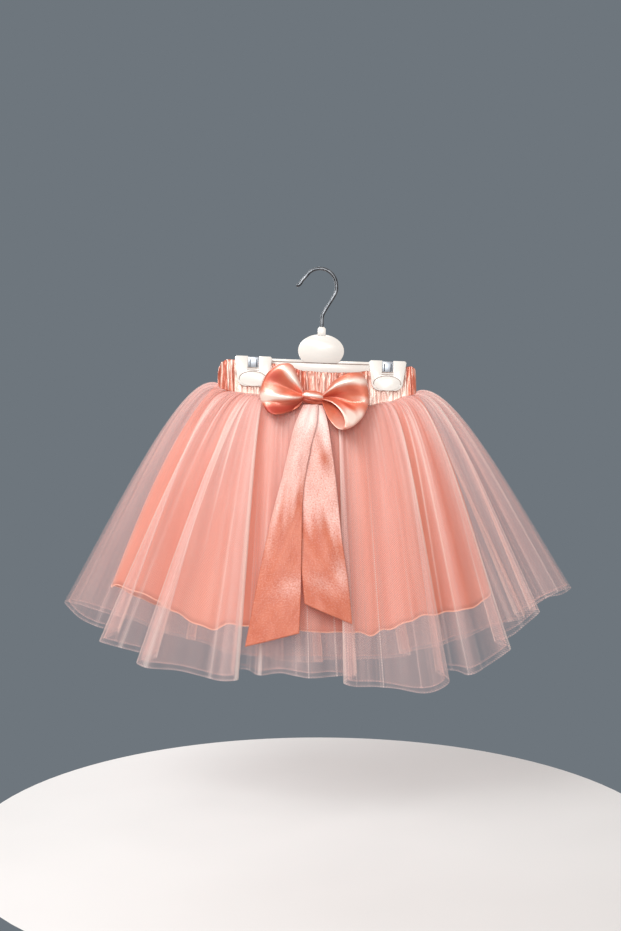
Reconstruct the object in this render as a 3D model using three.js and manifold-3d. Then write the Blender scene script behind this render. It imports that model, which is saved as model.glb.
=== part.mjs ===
// A child's tulle skirt with a satin bow, held at its waistband by a clip hanger.
// Millimetres, +Z up, +X to the right and +Y away from whoever looks at the front.
// The origin is the inside top of the hook, where the hanger rests on whatever holds it.
import * as THREE from 'three';
import { mergeVertices } from 'three/addons/utils/BufferGeometryUtils.js';
import Module from 'manifold-3d';

const wasm = await Module();
wasm.setup();

// Gap left between neighbouring pieces.
const SEAM = 0.3;

// Hanger, in its own upright frame. It hangs a little lower on the right.
const HANGER_TILT = THREE.MathUtils.degToRad(2);
const HOOK = { wire: 1.75, bend: 17.3, quarters: 5, steps: 46, socket: 9.5 };
const NECK = { x: 4, top: -59.9, bottom: -68.5, width: 8.4, depth: 6.6, chamfer: 1.8 };
const DISC = { z: -84.8, halfWidth: 24.1, halfHeight: 17.4, half: 2.5 };
const BAR = { left: -80, right: 88, top: -94.7, bottom: -109, rail: 2.6, railHalf: 1.6, webHalf: 1 };

// One clip: two jaws with a steel spring over the bar. Heights are from the hanger's own origin.
const CLIP_CENTRES = { left: -66.2, right: 74.2 };
const JAW = {
  top: -93.1, bottom: -124.4, halfTop: 19.4, halfBottom: 16.5, near: 4.4, far: 6.4, corner: 1.6, round: 8.5,
  arcs: 3,
};
const NOTCH = { half: 5.8, bottom: -105 };
const PAD = { halfWidth: 13.6, halfHeight: 7.4, z: -117, inner: 2.5, cut: -113.4, rim: 0.7 };
const SPRING = { half: 5.4, inner: 4.8, outer: 5.6, crown: -93.5, foot: -104.6, wall: 0.8 };

// Waistband: a gathered elastic tube, pinched flat inside each clip. Each row is a section
// across it: its top and bottom edge, how far its front and back stand from the middle
// plane, and how deep its gathers are.
const BAND = { left: -107, right: 100.8, wall: 2, gathers: 48, perGather: 4, square: 9 };
const BAND_ROWS = [
  { x: -107, top: -103, bottom: -121, front: 5.8, back: 5.8, gather: 0.5 },
  { x: -98, top: -94, bottom: -127, front: 5.4, back: 5, gather: 0.9 },
  { x: -90, top: -94, bottom: -129, front: 3, back: 3, gather: 0 },
  { x: -70, top: -95, bottom: -131, front: 1.2, back: 1.2, gather: 0 },
  { x: -50, top: -98, bottom: -136, front: 3, back: 3, gather: 0 },
  { x: -34, top: -102, bottom: -138, front: 8.4, back: 6.2, gather: 1.2 },
  { x: -14, top: -107, bottom: -141, front: 12.2, back: 8.8, gather: 1.3 },
  { x: 12, top: -108.5, bottom: -143, front: 12.4, back: 9, gather: 1.3 },
  { x: 34, top: -108, bottom: -144, front: 8.6, back: 6.4, gather: 1.2 },
  { x: 50, top: -106, bottom: -143, front: 3, back: 3, gather: 0 },
  { x: 70, top: -104.5, bottom: -139.5, front: 1.2, back: 1.2, gather: 0 },
  { x: 90.4, top: -101.5, bottom: -133.5, front: 3, back: 3, gather: 0 },
  { x: 95.5, top: -101.5, bottom: -132, front: 4.6, back: 4.6, gather: 0.7 },
  { x: 100.8, top: -106, bottom: -130, front: 5.6, back: 5.6, gather: 0.5 },
];
// Height of the stretch of band that opens from the pads up to the sides of the bar.
const PINCH = { below: 0.6, deep: 3.2, half: 1.2, reach: 21, railHalf: 2.9 };

// Cloth below the band. Each row is one fold line: where it leaves the waist, counted round
// from the left end (front 0 to 1, back 1 to 2), and where it ends at the hem.
const TULLE_ROWS = [
  { at: 0, x: -271, y: 4, z: -348 },
  { at: 0.04, x: -255, y: -15, z: -357 },
  { at: 0.11, x: -233, y: -18, z: -369 },
  { at: 0.2, x: -210, y: -46, z: -384 },
  { at: 0.245, x: -191, y: -38, z: -392 },
  { at: 0.285, x: -168, y: -70, z: -403 },
  { at: 0.3, x: -142, y: -62, z: -409 },
  { at: 0.311, x: -118, y: -79, z: -411 },
  { at: 0.322, x: -97, y: -88, z: -414 },
  { at: 0.336, x: -81, y: -62, z: -410 },
  { at: 0.36, x: -61, y: -76, z: -411 },
  { at: 0.4, x: -38, y: -64, z: -411 },
  { at: 0.44, x: -14, y: -79, z: -413 },
  { at: 0.485, x: 5, y: -66, z: -414 },
  { at: 0.53, x: 23, y: -62, z: -415 },
  { at: 0.57, x: 36, y: -79, z: -420 },
  { at: 0.61, x: 56, y: -74, z: -422 },
  { at: 0.66, x: 76, y: -87, z: -423 },
  { at: 0.71, x: 100, y: -90, z: -424 },
  { at: 0.75, x: 127, y: -60, z: -412 },
  { at: 0.775, x: 145, y: -69, z: -412 },
  { at: 0.8, x: 164, y: -50, z: -404 },
  { at: 0.83, x: 181, y: -52, z: -389 },
  { at: 0.865, x: 200, y: -33, z: -370 },
  { at: 0.9, x: 218, y: -34, z: -352 },
  { at: 0.94, x: 236, y: -17, z: -342 },
  { at: 0.97, x: 251, y: -13, z: -339 },
  { at: 1, x: 264, y: 3, z: -334 },
  { at: 1.04, x: 257, y: 20, z: -339 },
  { at: 1.09, x: 243, y: 20, z: -348 },
  { at: 1.15, x: 225, y: 40, z: -362 },
  { at: 1.21, x: 196, y: 33, z: -375 },
  { at: 1.27, x: 166, y: 53, z: -392 },
  { at: 1.33, x: 132, y: 43, z: -401 },
  { at: 1.39, x: 98, y: 59, z: -411 },
  { at: 1.45, x: 60, y: 47, z: -416 },
  { at: 1.51, x: 22, y: 61, z: -419 },
  { at: 1.57, x: -18, y: 47, z: -420 },
  { at: 1.63, x: -58, y: 59, z: -416 },
  { at: 1.69, x: -98, y: 45, z: -410 },
  { at: 1.75, x: -136, y: 55, z: -398 },
  { at: 1.81, x: -172, y: 37, z: -385 },
  { at: 1.87, x: -208, y: 43, z: -372 },
  { at: 1.92, x: -236, y: 24, z: -362 },
  { at: 1.96, x: -258, y: 22, z: -354 },
];
const LINING_ROWS = [
  { at: 0, x: -221, y: 2, z: -330 },
  { at: 0.05, x: -211, y: -9, z: -331 },
  { at: 0.1, x: -189, y: -13, z: -336 },
  { at: 0.15, x: -167, y: -22, z: -345 },
  { at: 0.2, x: -146, y: -26, z: -357 },
  { at: 0.26, x: -116, y: -38, z: -370 },
  { at: 0.32, x: -90, y: -34, z: -367 },
  { at: 0.38, x: -59, y: -41, z: -368 },
  { at: 0.44, x: -29, y: -40, z: -371 },
  { at: 0.5, x: 2, y: -43, z: -373 },
  { at: 0.56, x: 30, y: -41, z: -374 },
  { at: 0.62, x: 54, y: -43, z: -375 },
  { at: 0.68, x: 77, y: -36, z: -368 },
  { at: 0.74, x: 102, y: -34, z: -360 },
  { at: 0.8, x: 129, y: -25, z: -355 },
  { at: 0.86, x: 152, y: -20, z: -353 },
  { at: 0.92, x: 170, y: -11, z: -346 },
  { at: 1, x: 181, y: 1, z: -334 },
  { at: 1.08, x: 172, y: 12, z: -342 },
  { at: 1.18, x: 140, y: 18, z: -356 },
  { at: 1.3, x: 96, y: 30, z: -368 },
  { at: 1.42, x: 44, y: 31, z: -374 },
  { at: 1.54, x: -8, y: 36, z: -377 },
  { at: 1.66, x: -62, y: 31, z: -374 },
  { at: 1.78, x: -124, y: 30, z: -366 },
  { at: 1.88, x: -176, y: 18, z: -352 },
  { at: 1.95, x: -206, y: 12, z: -338 },
];
// How each cloth leaves the waist and falls: puff and lift at the front and at the sides,
// then the share of the way out and down at which the fall settles.
const TULLE = {
  wall: 1, columns: 3, stand: 2.1, start: 0.9,
  puff: [15, 35], lift: [1, 14], out: 0.545, down: 0.41,
  rings: [0, 0.06, 0.15, 0.29, 0.47, 0.65, 0.83, 1],
};
const UNDER = { top: 1.8, hem: 3.6, short: 0.3 };
const LINING = {
  wall: 1, columns: 2, stand: -0.5, start: 3.2,
  near: [0.42, 0.22], far: [0.72, 0.62], rings: [0, 0.14, 0.32, 0.54, 0.77, 1],
};

// Bow: a knot, two looped ribbons and two hanging ends of the same satin ribbon.
const RIBBON = { wall: 1, steps: 12, across: 6 };
const KNOT = { left: -17, right: 2, z: -135.4, y: -21, height: 13.4, depth: 12, quarters: 8, bevel: 1.2 };
const LOOPS = {
  left: { knotX: -17.6, knotZ: -131.5, top: [-35, -100], tip: [-63, -128], low: [-49, -153] },
  right: { knotX: 2.6, knotZ: -134.5, top: [37, -109.5], tip: [49.5, -138], low: [24, -168] },
};
const LOOP = { base: 5, gap: 1.1, open: 5.6, back: -24.5, lean: 0.72, leanFrom: -140 };
const TAIL_LEFT_ROWS = [
  { y: -23.8, leftX: -17, leftZ: -142.4, rightX: -2, rightZ: -142.4 },
  { y: -30.5, leftX: -20.5, leftZ: -150, rightX: -2.5, rightZ: -150 },
  { y: -37, leftX: -26, leftZ: -164, rightX: -4, rightZ: -164 },
  { y: -42.5, leftX: -31, leftZ: -184, rightX: -9, rightZ: -184 },
  { y: -50, leftX: -38, leftZ: -215, rightX: -15, rightZ: -215 },
  { y: -56.5, leftX: -46, leftZ: -245, rightX: -18, rightZ: -245 },
  { y: -62.5, leftX: -53, leftZ: -274, rightX: -18.6, rightZ: -274 },
  { y: -68, leftX: -58.5, leftZ: -301, rightX: -19, rightZ: -299 },
  { y: -73, leftX: -64, leftZ: -328, rightX: -19.3, rightZ: -325 },
  { y: -77.5, leftX: -69, leftZ: -356, rightX: -20, rightZ: -348 },
  { y: -81, leftX: -74, leftZ: -382, rightX: -21, rightZ: -369 },
];
const TAIL_RIGHT_ROWS = [
  { y: -21.6, leftX: -13, leftZ: -143, rightX: 2, rightZ: -143 },
  { y: -28, leftX: -15, leftZ: -151, rightX: 5, rightZ: -151 },
  { y: -34.5, leftX: -16, leftZ: -164, rightX: 8, rightZ: -164 },
  { y: -40, leftX: -16, leftZ: -184, rightX: 11, rightZ: -184 },
  { y: -47.5, leftX: -16.5, leftZ: -215, rightX: 15, rightZ: -215 },
  { y: -54, leftX: -16.8, leftZ: -245, rightX: 18, rightZ: -245 },
  { y: -60, leftX: -17, leftZ: -274, rightX: 21, rightZ: -276 },
  { y: -65.5, leftX: -17.2, leftZ: -299, rightX: 25, rightZ: -304 },
  { y: -70, leftX: -17, leftZ: -320, rightX: 28.5, rightZ: -332 },
  { y: -74, leftX: -16, leftZ: -341, rightX: 31, rightZ: -361 },
];
const TAIL = { across: 4, bow: 1.4 };

function finish(color, roughness, metalness = 0) {
  return new THREE.MeshStandardMaterial({ color, roughness, metalness });
}

const MATERIALS = {
  steel: () => finish(0x9aa0a6, 0.25, 1),
  plastic: () => finish(0xf4f2ee, 0.3),
  satin: () => finish(0xe28a68, 0.35),
  lining: () => finish(0xe89a80, 0.5),
  tulle: () => finish(0xf0c4b4, 0.85),
};

// Small number helpers.
const mix = (a, b, t) => a + (b - a) * t;
const ease = (t) => t * t * (3 - 2 * t);

// One column of a table of sections, smooth between its rows and flat at each.
function along(rows, key, x) {
  const next = rows.findIndex((row) => row.x > x);
  if (next === 0) return rows[0][key];
  if (next < 0) return rows.at(-1)[key];
  const a = rows[next - 1];
  const b = rows[next];
  return mix(a[key], b[key], ease((x - a.x) / (b.x - a.x)));
}

// One column of a table of fold lines that closes on itself, as a smooth curve through its rows.
function around(rows, key, k, t, lap = 0) {
  const pick = (i) => {
    const turns = Math.floor(i / rows.length);
    return rows[i - turns * rows.length][key] + turns * lap;
  };
  const [a, b, c, d] = [pick(k - 1), pick(k), pick(k + 1), pick(k + 2)];
  const slope = (c - a) / 2;
  const nextSlope = (d - b) / 2;
  const t2 = t * t;
  const t3 = t2 * t;
  return (2 * t3 - 3 * t2 + 1) * b + (t3 - 2 * t2 + t) * slope
    + (3 * t2 - 2 * t3) * c + (t3 - t2) * nextSlope;
}

// Waist line seen from above. at runs 0 to 1 along the front and 1 to 2 along the back.
// half is the distance from the middle plane to the middle of the wall.
function waistPoint(at, half = null) {
  const side = Math.cos(Math.PI * at);
  const x = mix(BAND.left, BAND.right, (1 - side) / 2);
  const front = Math.sin(Math.PI * at) >= 0;
  const end = Math.sqrt(Math.max(0, 1 - Math.abs(side) ** BAND.square));
  const reach = half ?? along(BAND_ROWS, front ? 'front' : 'back', x);
  return { x, y: (front ? -reach : reach) * end, front };
}

// Outward direction of the waist line, level.
function waistNormal(at) {
  const step = 0.002;
  const a = waistPoint(at - step);
  const b = waistPoint(at + step);
  return new THREE.Vector3(b.y - a.y, -(b.x - a.x), 0).normalize();
}

// Values of at that share the waist line out into equal lengths.
function evenShares(count) {
  const fine = count * 8;
  const points = Array.from({ length: fine + 1 }, (_, i) => waistPoint((2 * i) / fine));
  const lengths = [0];
  for (let i = 1; i <= fine; i += 1) {
    const step = Math.hypot(points[i].x - points[i - 1].x, points[i].y - points[i - 1].y);
    lengths.push(lengths[i - 1] + step);
  }
  const shares = [];
  let j = 0;
  for (let i = 0; i < count; i += 1) {
    const wanted = (lengths.at(-1) * i) / count;
    while (lengths[j + 1] < wanted) j += 1;
    const part = (wanted - lengths[j]) / (lengths[j + 1] - lengths[j]);
    shares.push((2 * (j + part)) / fine);
  }
  return shares;
}

// Unit normals of a grid of points, rows down and columns across or round.
function gridNormals(grid, ring) {
  const rows = grid.length;
  const columns = grid[0].length;
  const clamp = (i, n) => Math.min(Math.max(i, 0), n - 1);
  const wrap = (j) => (ring ? (j + columns) % columns : clamp(j, columns));
  return grid.map((line, i) => line.map((_, j) => {
    const down = grid[clamp(i + 1, rows)][j].clone().sub(grid[clamp(i - 1, rows)][j]);
    const across = grid[i][wrap(j + 1)].clone().sub(grid[i][wrap(j - 1)]);
    return across.cross(down).normalize().negate();
  }));
}

// Closed wall around a grid of mid-surface points: two faces, two rims and, on a strip, two sides.
function wall(grid, thickness, ring) {
  const normals = gridNormals(grid, ring);
  const rows = grid.length;
  const columns = grid[0].length;
  const positions = [];
  for (const sign of [0.5, -0.5]) {
    grid.forEach((line, i) => line.forEach((point, j) => {
      positions.push(...point.clone().addScaledVector(normals[i][j], sign * thickness));
    }));
  }
  const outer = (i, j) => i * columns + (j % columns);
  const inner = (i, j) => rows * columns + outer(i, j);
  const index = [];
  const quad = (a, b, c, d) => index.push(a, b, c, a, c, d);
  const spans = ring ? columns : columns - 1;
  for (let j = 0; j < spans; j += 1) {
    for (let i = 0; i < rows - 1; i += 1) {
      quad(outer(i, j), outer(i + 1, j), outer(i + 1, j + 1), outer(i, j + 1));
      quad(inner(i, j), inner(i, j + 1), inner(i + 1, j + 1), inner(i + 1, j));
    }
    quad(outer(0, j), outer(0, j + 1), inner(0, j + 1), inner(0, j));
    quad(outer(rows - 1, j + 1), outer(rows - 1, j), inner(rows - 1, j), inner(rows - 1, j + 1));
  }
  for (let i = 0; i < rows - 1 && !ring; i += 1) {
    quad(outer(i, 0), inner(i, 0), inner(i + 1, 0), outer(i + 1, 0));
    quad(outer(i + 1, spans), inner(i + 1, spans), inner(i, spans), outer(i, spans));
  }
  const geometry = new THREE.BufferGeometry();
  geometry.setAttribute('position', new THREE.Float32BufferAttribute(positions, 3));
  geometry.setIndex(index);
  return faceOut(geometry);
}

// Turns a closed geometry right side out.
function faceOut(geometry) {
  const p = geometry.getAttribute('position');
  const index = geometry.getIndex().array;
  const corner = (i) => new THREE.Vector3().fromBufferAttribute(p, index[i]);
  let volume = 0;
  for (let i = 0; i < index.length; i += 3) {
    volume += corner(i).dot(corner(i + 1).cross(corner(i + 2)));
  }
  if (volume < 0) {
    for (let i = 0; i < index.length; i += 3) {
      [index[i + 1], index[i + 2]] = [index[i + 2], index[i + 1]];
    }
  }
  return geometry;
}

// Joining and cutting of closed geometries.
function toSolid(geometry) {
  const bare = geometry.clone();
  bare.deleteAttribute('normal');
  bare.deleteAttribute('uv');
  const merged = mergeVertices(bare, 1e-4);
  return new wasm.Manifold(new wasm.Mesh({
    numProp: 3,
    vertProperties: new Float32Array(merged.getAttribute('position').array),
    triVerts: new Uint32Array(merged.getIndex().array),
  }));
}

function fromSolid(solid) {
  const mesh = solid.getMesh();
  const geometry = new THREE.BufferGeometry();
  geometry.setAttribute('position', new THREE.Float32BufferAttribute(mesh.vertProperties, 3));
  geometry.setIndex(Array.from(mesh.triVerts));
  return geometry;
}

// Flat piece with an outline drawn in X and Z, between two depths in Y.
function plate(shape, near, far, curveSegments = 12) {
  const geometry = new THREE.ExtrudeGeometry(shape, {
    depth: far - near, bevelEnabled: false, curveSegments,
  });
  geometry.rotateX(Math.PI / 2);
  geometry.translate(0, far, 0);
  return geometry;
}

function outline(points) {
  return new THREE.Shape(points.map(([x, z]) => new THREE.Vector2(x, z)));
}

function box(left, right, low, high, near, far) {
  return plate(outline([[left, low], [right, low], [right, high], [left, high]]), near, far);
}

function part(name, geometry, material) {
  const mesh = new THREE.Mesh(geometry, material);
  mesh.name = name;
  return mesh;
}

// Hook: one bent steel wire, from its flared tip over the crown and down into the neck.
function hook() {
  const points = [[-24.3, -17.7], [-20.5, -15.2], [-18.4, -11.6]];
  const centre = { x: 0.4, z: HOOK.wire - HOOK.bend };
  for (let degrees = 150; degrees >= 10; degrees -= 20) {
    const angle = THREE.MathUtils.degToRad(degrees);
    points.push([centre.x + HOOK.bend * Math.cos(angle), centre.z + HOOK.bend * Math.sin(angle)]);
  }
  points.push([17.9, -20.4], [15.4, -27], [7.6, -40.6], [4.5, -47], [NECK.x, -52]);
  points.push([NECK.x, NECK.top], [NECK.x, NECK.top - HOOK.socket]);
  const path = new THREE.CatmullRomCurve3(points.map(([x, z]) => new THREE.Vector3(x, 0, z)));
  const section = new THREE.Shape();
  section.absarc(0, 0, HOOK.wire, 0, Math.PI * 2);
  return new THREE.ExtrudeGeometry(section, {
    extrudePath: path, steps: HOOK.steps, curveSegments: HOOK.quarters,
  });
}

// Moulded hanger: collar with the hook's socket, blank oval disc, and the flat bar with its rail.
function hangerBar() {
  const half = NECK.width / 2;
  const collar = plate(outline([
    [NECK.x - half, NECK.bottom], [NECK.x + half, NECK.bottom],
    [NECK.x + half, NECK.top - NECK.chamfer], [NECK.x + half - NECK.chamfer, NECK.top],
    [NECK.x - half + NECK.chamfer, NECK.top], [NECK.x - half, NECK.top - NECK.chamfer],
  ]), -NECK.depth / 2, NECK.depth / 2);
  const oval = new THREE.Shape();
  oval.absellipse(NECK.x, DISC.z, DISC.halfWidth, DISC.halfHeight, 0, Math.PI * 2);
  const socket = new THREE.CylinderGeometry(HOOK.wire + SEAM, HOOK.wire + SEAM, HOOK.socket * 2, 16);
  socket.rotateX(Math.PI / 2);
  socket.translate(NECK.x, 0, NECK.top);
  const clear = DISC.half * 2;
  const underDisc = box(BAR.left, BAR.right, DISC.z - DISC.halfWidth, BAR.top - BAR.rail, -clear, clear);
  const rail = box(BAR.left, BAR.right, BAR.top - BAR.rail, BAR.top, -BAR.railHalf, BAR.railHalf);
  const web = box(BAR.left, BAR.right, BAR.bottom, BAR.top, -BAR.webHalf, BAR.webHalf);
  return fromSolid(toSolid(plate(oval, -DISC.half, DISC.half, 20))
    .subtract(toSolid(underDisc))
    .add(toSolid(collar))
    .subtract(toSolid(socket))
    .add(toSolid(rail))
    .add(toSolid(web)));
}

// One jaw: a notched plate with a round foot, an oval rim outside and a gripping pad inside.
function jaw(side) {
  const span = (near, far) => (side < 0 ? [-far, -near] : [near, far]);
  const body = outline([
    [JAW.halfTop, JAW.top - JAW.corner], [JAW.halfTop - JAW.corner, JAW.top],
    [NOTCH.half, JAW.top], [NOTCH.half, NOTCH.bottom], [-NOTCH.half, NOTCH.bottom],
    [-NOTCH.half, JAW.top], [-JAW.halfTop + JAW.corner, JAW.top],
    [-JAW.halfTop, JAW.top - JAW.corner],
  ]);
  const across = JAW.halfBottom - JAW.round;
  const up = JAW.bottom + JAW.round;
  body.absarc(-across, up, JAW.round, -Math.PI, -Math.PI / 2);
  body.absarc(across, up, JAW.round, -Math.PI / 2, 0);
  const oval = new THREE.Shape();
  oval.absellipse(0, PAD.z, PAD.halfWidth, PAD.halfHeight, 0, Math.PI * 2);
  const grip = toSolid(plate(oval, ...span(PAD.inner, JAW.near)))
    .subtract(toSolid(box(-PAD.halfWidth * 2, PAD.halfWidth * 2, PAD.cut, 0, -JAW.far, JAW.far)));
  return fromSolid(toSolid(plate(body, ...span(JAW.near, JAW.far), JAW.arcs))
    .add(toSolid(plate(oval, ...span(JAW.near, JAW.far + PAD.rim))))
    .add(grip));
}

// Steel leaf spring, bent over the bar and down both notches.
function spring() {
  const { inner, outer, crown, foot, wall: thick } = SPRING;
  const profile = new THREE.Shape();
  profile.moveTo(-outer, foot);
  profile.lineTo(-inner, foot);
  profile.lineTo(-inner, crown - thick);
  profile.lineTo(inner, crown - thick);
  profile.lineTo(inner, foot);
  profile.lineTo(outer, foot);
  profile.lineTo(outer, crown - thick);
  profile.lineTo(inner, crown);
  profile.lineTo(-inner, crown);
  profile.lineTo(-outer, crown - thick);
  const geometry = new THREE.ExtrudeGeometry(profile, { depth: SPRING.half * 2, bevelEnabled: false });
  geometry.translate(0, 0, -SPRING.half);
  geometry.applyMatrix4(new THREE.Matrix4().makeBasis(
    new THREE.Vector3(0, 1, 0), new THREE.Vector3(0, 0, 1), new THREE.Vector3(1, 0, 0),
  ));
  return geometry;
}

// Bottom of the bar under a given x, in the part's own frame.
const barBottom = (x) => BAR.bottom - Math.tan(HANGER_TILT) * x;

// Share, 0 to 1, of how far a place lies inside either clip's grip.
function grip(x) {
  const centres = Object.values(CLIP_CENTRES).map((c) => c + Math.tan(HANGER_TILT) * BAR.bottom);
  const nearest = Math.min(...centres.map((c) => Math.abs(x - c)));
  return 1 - ease(THREE.MathUtils.clamp((nearest - JAW.halfTop) / (PINCH.reach - JAW.halfTop), 0, 1));
}

// Waistband ring: gathered between the clips, pinched flat by the pads and open above round the bar.
function waistband() {
  const shares = evenShares(BAND.gathers * BAND.perGather);
  const levels = [
    { z: (x) => along(BAND_ROWS, 'top', x), open: true },
    { z: (x) => barBottom(x) - PINCH.below, open: true },
    { z: (x) => barBottom(x) - PINCH.below - PINCH.deep, open: false },
    { z: (x) => along(BAND_ROWS, 'bottom', x), open: false },
  ];
  const grid = levels.map(({ z, open }) => shares.map((at, i) => {
    const { x, front } = waistPoint(at);
    const free = along(BAND_ROWS, front ? 'front' : 'back', x);
    const held = open ? PINCH.railHalf : PINCH.half;
    const half = mix(Math.max(free, held), held, grip(x));
    const wave = Math.cos((2 * Math.PI * i) / BAND.perGather);
    const depth = along(BAND_ROWS, 'gather', x) * wave * (1 - grip(x));
    const out = waistNormal(at).multiplyScalar(depth);
    const { y } = waistPoint(at, half);
    return new THREE.Vector3(x + out.x, y + out.y, z(x));
  }));
  return wall(grid, BAND.wall, true);
}

// Fold lines of a cloth: waist point and hem point for each column of its grid.
function foldLines(rows, perRow, stand, start) {
  const lines = [];
  rows.forEach((_, k) => {
    for (let s = 0; s < perRow; s += 1) {
      const t = s / perRow;
      const at = around(rows, 'at', k, t, 2);
      const { x, y } = waistPoint(at);
      const out = waistNormal(at);
      const hem = new THREE.Vector3(...['x', 'y', 'z'].map((key) => around(rows, key, k, t)));
      const top = new THREE.Vector3(x, y, along(BAND_ROWS, 'bottom', x) - start);
      top.addScaledVector(out, stand);
      lines.push({ top, hem, side: Math.abs(Math.cos(Math.PI * at)) });
    }
  });
  return lines;
}

// Tulle: it puffs out level from the waist, then falls to the hem.
function tulleGrid() {
  const lines = foldLines(TULLE_ROWS, TULLE.columns, TULLE.stand, TULLE.start);
  return TULLE.rings.map((t) => lines.map(({ top, hem, side }) => {
    const fall = hem.clone().sub(top);
    const level = new THREE.Vector3(fall.x, fall.y, 0).normalize();
    const first = top.clone().addScaledVector(level, mix(...TULLE.puff, side));
    first.z += mix(...TULLE.lift, side * side);
    const second = top.clone().add(new THREE.Vector3(
      fall.x * TULLE.out, fall.y * TULLE.out, fall.z * TULLE.down,
    ));
    return new THREE.CubicBezierCurve3(top, first, second, hem).getPoint(t);
  }));
}

// The under layer lies inside the outer one's folds and is cut shorter.
function underGrid(outerGrid) {
  const normals = gridNormals(outerGrid, true);
  const inside = outerGrid.map((line, i) => line.map((point, j) => (
    point.clone().addScaledVector(normals[i][j], -mix(UNDER.top, UNDER.hem, TULLE.rings[i]))
  )));
  const [above, hem] = inside.slice(-2);
  hem.forEach((point, j) => point.lerp(above[j], UNDER.short));
  return inside;
}

// Lining: a plain A-line tube of satin with soft waves at its hem.
function liningGrid() {
  const lines = foldLines(LINING_ROWS, LINING.columns, LINING.stand, LINING.start);
  return LINING.rings.map((t) => lines.map(({ top, hem }) => {
    const at = ([out, down]) => new THREE.Vector3(
      mix(top.x, hem.x, out), mix(top.y, hem.y, out), mix(top.z, hem.z, down),
    );
    return new THREE.CubicBezierCurve3(top, at(LINING.near), at(LINING.far), hem).getPoint(t);
  }));
}

// Knot: the short ribbon wrapped round the middle of the bow.
function bowKnot() {
  const { height, depth, left, right } = KNOT;
  const shape = new THREE.Shape();
  shape.absellipse(0, 0, depth / 2 - KNOT.bevel, height / 2 - KNOT.bevel, 0, Math.PI * 2);
  const length = right - left - 2 * KNOT.bevel;
  const geometry = new THREE.ExtrudeGeometry(shape, {
    depth: length, curveSegments: KNOT.quarters, bevelSegments: 2,
    bevelSize: KNOT.bevel, bevelThickness: KNOT.bevel,
  });
  geometry.translate(0, 0, -length / 2);
  geometry.applyMatrix4(new THREE.Matrix4().makeBasis(
    new THREE.Vector3(0, 1, 0), new THREE.Vector3(0, 0, 1), new THREE.Vector3(1, 0, 0),
  ));
  geometry.translate((left + right) / 2, KNOT.y, KNOT.z);
  return geometry;
}

// Loop: a ribbon that runs out from the knot, turns back at its tip and returns behind.
function bowLoop({ knotX, knotZ, top, tip, low }) {
  const middle = [0, 1].map((k) => 2 * tip[k] - (top[k] + low[k]) / 2);
  const edge = (b, k) => (1 - b) ** 2 * top[k] + 2 * b * (1 - b) * middle[k] + b * b * low[k];
  const grid = [];
  for (let i = 0; i <= RIBBON.steps; i += 1) {
    const a = (2 * i) / RIBBON.steps - 1;
    const q = Math.abs(a);
    const reach = 1 - q * q;
    const part = LOOP.gap * q + LOOP.open * Math.sin(Math.PI * Math.sqrt(q)) * Math.sqrt(q);
    const line = [];
    for (let j = 0; j <= RIBBON.across; j += 1) {
      const b = j / RIBBON.across;
      const x = mix(knotX, edge(b, 0), reach);
      const z = mix(knotZ + (0.5 - b) * LOOP.base, edge(b, 1), reach);
      const lean = LOOP.lean * Math.max(0, LOOP.leanFrom - z);
      line.push(new THREE.Vector3(x, LOOP.back - lean + Math.sign(a) * part, z));
    }
    grid.push(line);
  }
  return wall(grid, RIBBON.wall, false);
}

// Hanging end: a flat ribbon, slightly bowed across, from under the knot to its slanted cut.
function bowTail(rows) {
  const grid = rows.map(({ y, leftX, leftZ, rightX, rightZ }) => {
    const line = [];
    for (let j = 0; j <= TAIL.across; j += 1) {
      const b = j / TAIL.across;
      const bow = TAIL.bow * Math.sin(Math.PI * b);
      line.push(new THREE.Vector3(mix(leftX, rightX, b), y - bow, mix(leftZ, rightZ, b)));
    }
    return line;
  });
  return wall(grid, RIBBON.wall, false);
}

const tulle = tulleGrid();

const hanger = new THREE.Group();
hanger.rotation.y = HANGER_TILT;
hanger.add(part('hanger_hook', hook(), MATERIALS.steel()));
hanger.add(part('hanger_bar', hangerBar(), MATERIALS.plastic()));
for (const [side, x] of Object.entries(CLIP_CENTRES)) {
  const clip = new THREE.Group();
  clip.position.x = x;
  clip.add(part(`clip_${side}_front`, jaw(-1), MATERIALS.plastic()));
  clip.add(part(`clip_${side}_back`, jaw(1), MATERIALS.plastic()));
  clip.add(part(`clip_${side}_spring`, spring(), MATERIALS.steel()));
  hanger.add(clip);
}

const skirt = new THREE.Group();
skirt.add(part('waistband', waistband(), MATERIALS.satin()));
skirt.add(part('lining', wall(liningGrid(), LINING.wall, true), MATERIALS.lining()));
skirt.add(part('tulle_under', wall(underGrid(tulle), TULLE.wall, true), MATERIALS.tulle()));
skirt.add(part('tulle_outer', wall(tulle, TULLE.wall, true), MATERIALS.tulle()));
skirt.add(part('bow_loop_left', bowLoop(LOOPS.left), MATERIALS.satin()));
skirt.add(part('bow_loop_right', bowLoop(LOOPS.right), MATERIALS.satin()));
skirt.add(part('bow_knot', bowKnot(), MATERIALS.satin()));
skirt.add(part('bow_tail_left', bowTail(TAIL_LEFT_ROWS), MATERIALS.satin()));
skirt.add(part('bow_tail_right', bowTail(TAIL_RIGHT_ROWS), MATERIALS.satin()));

const object = new THREE.Group();
object.add(hanger, skirt);

export default object;
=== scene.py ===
# %% [markdown]
# # A child's tulle skirt on a clip hanger
# The skirt is two gathered layers of fine net over a satin lining, sewn into an elastic satin waistband with a
# ribbon bow on the front. A white clip hanger pinches the band in two places and hangs from its steel hook.
# The frame gives every part's real place in metres. The cloth here is drawn again in much finer form on the same
# fold lines, in millimetres, and each mesh is scaled to metres once, where it is made.

import math

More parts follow.
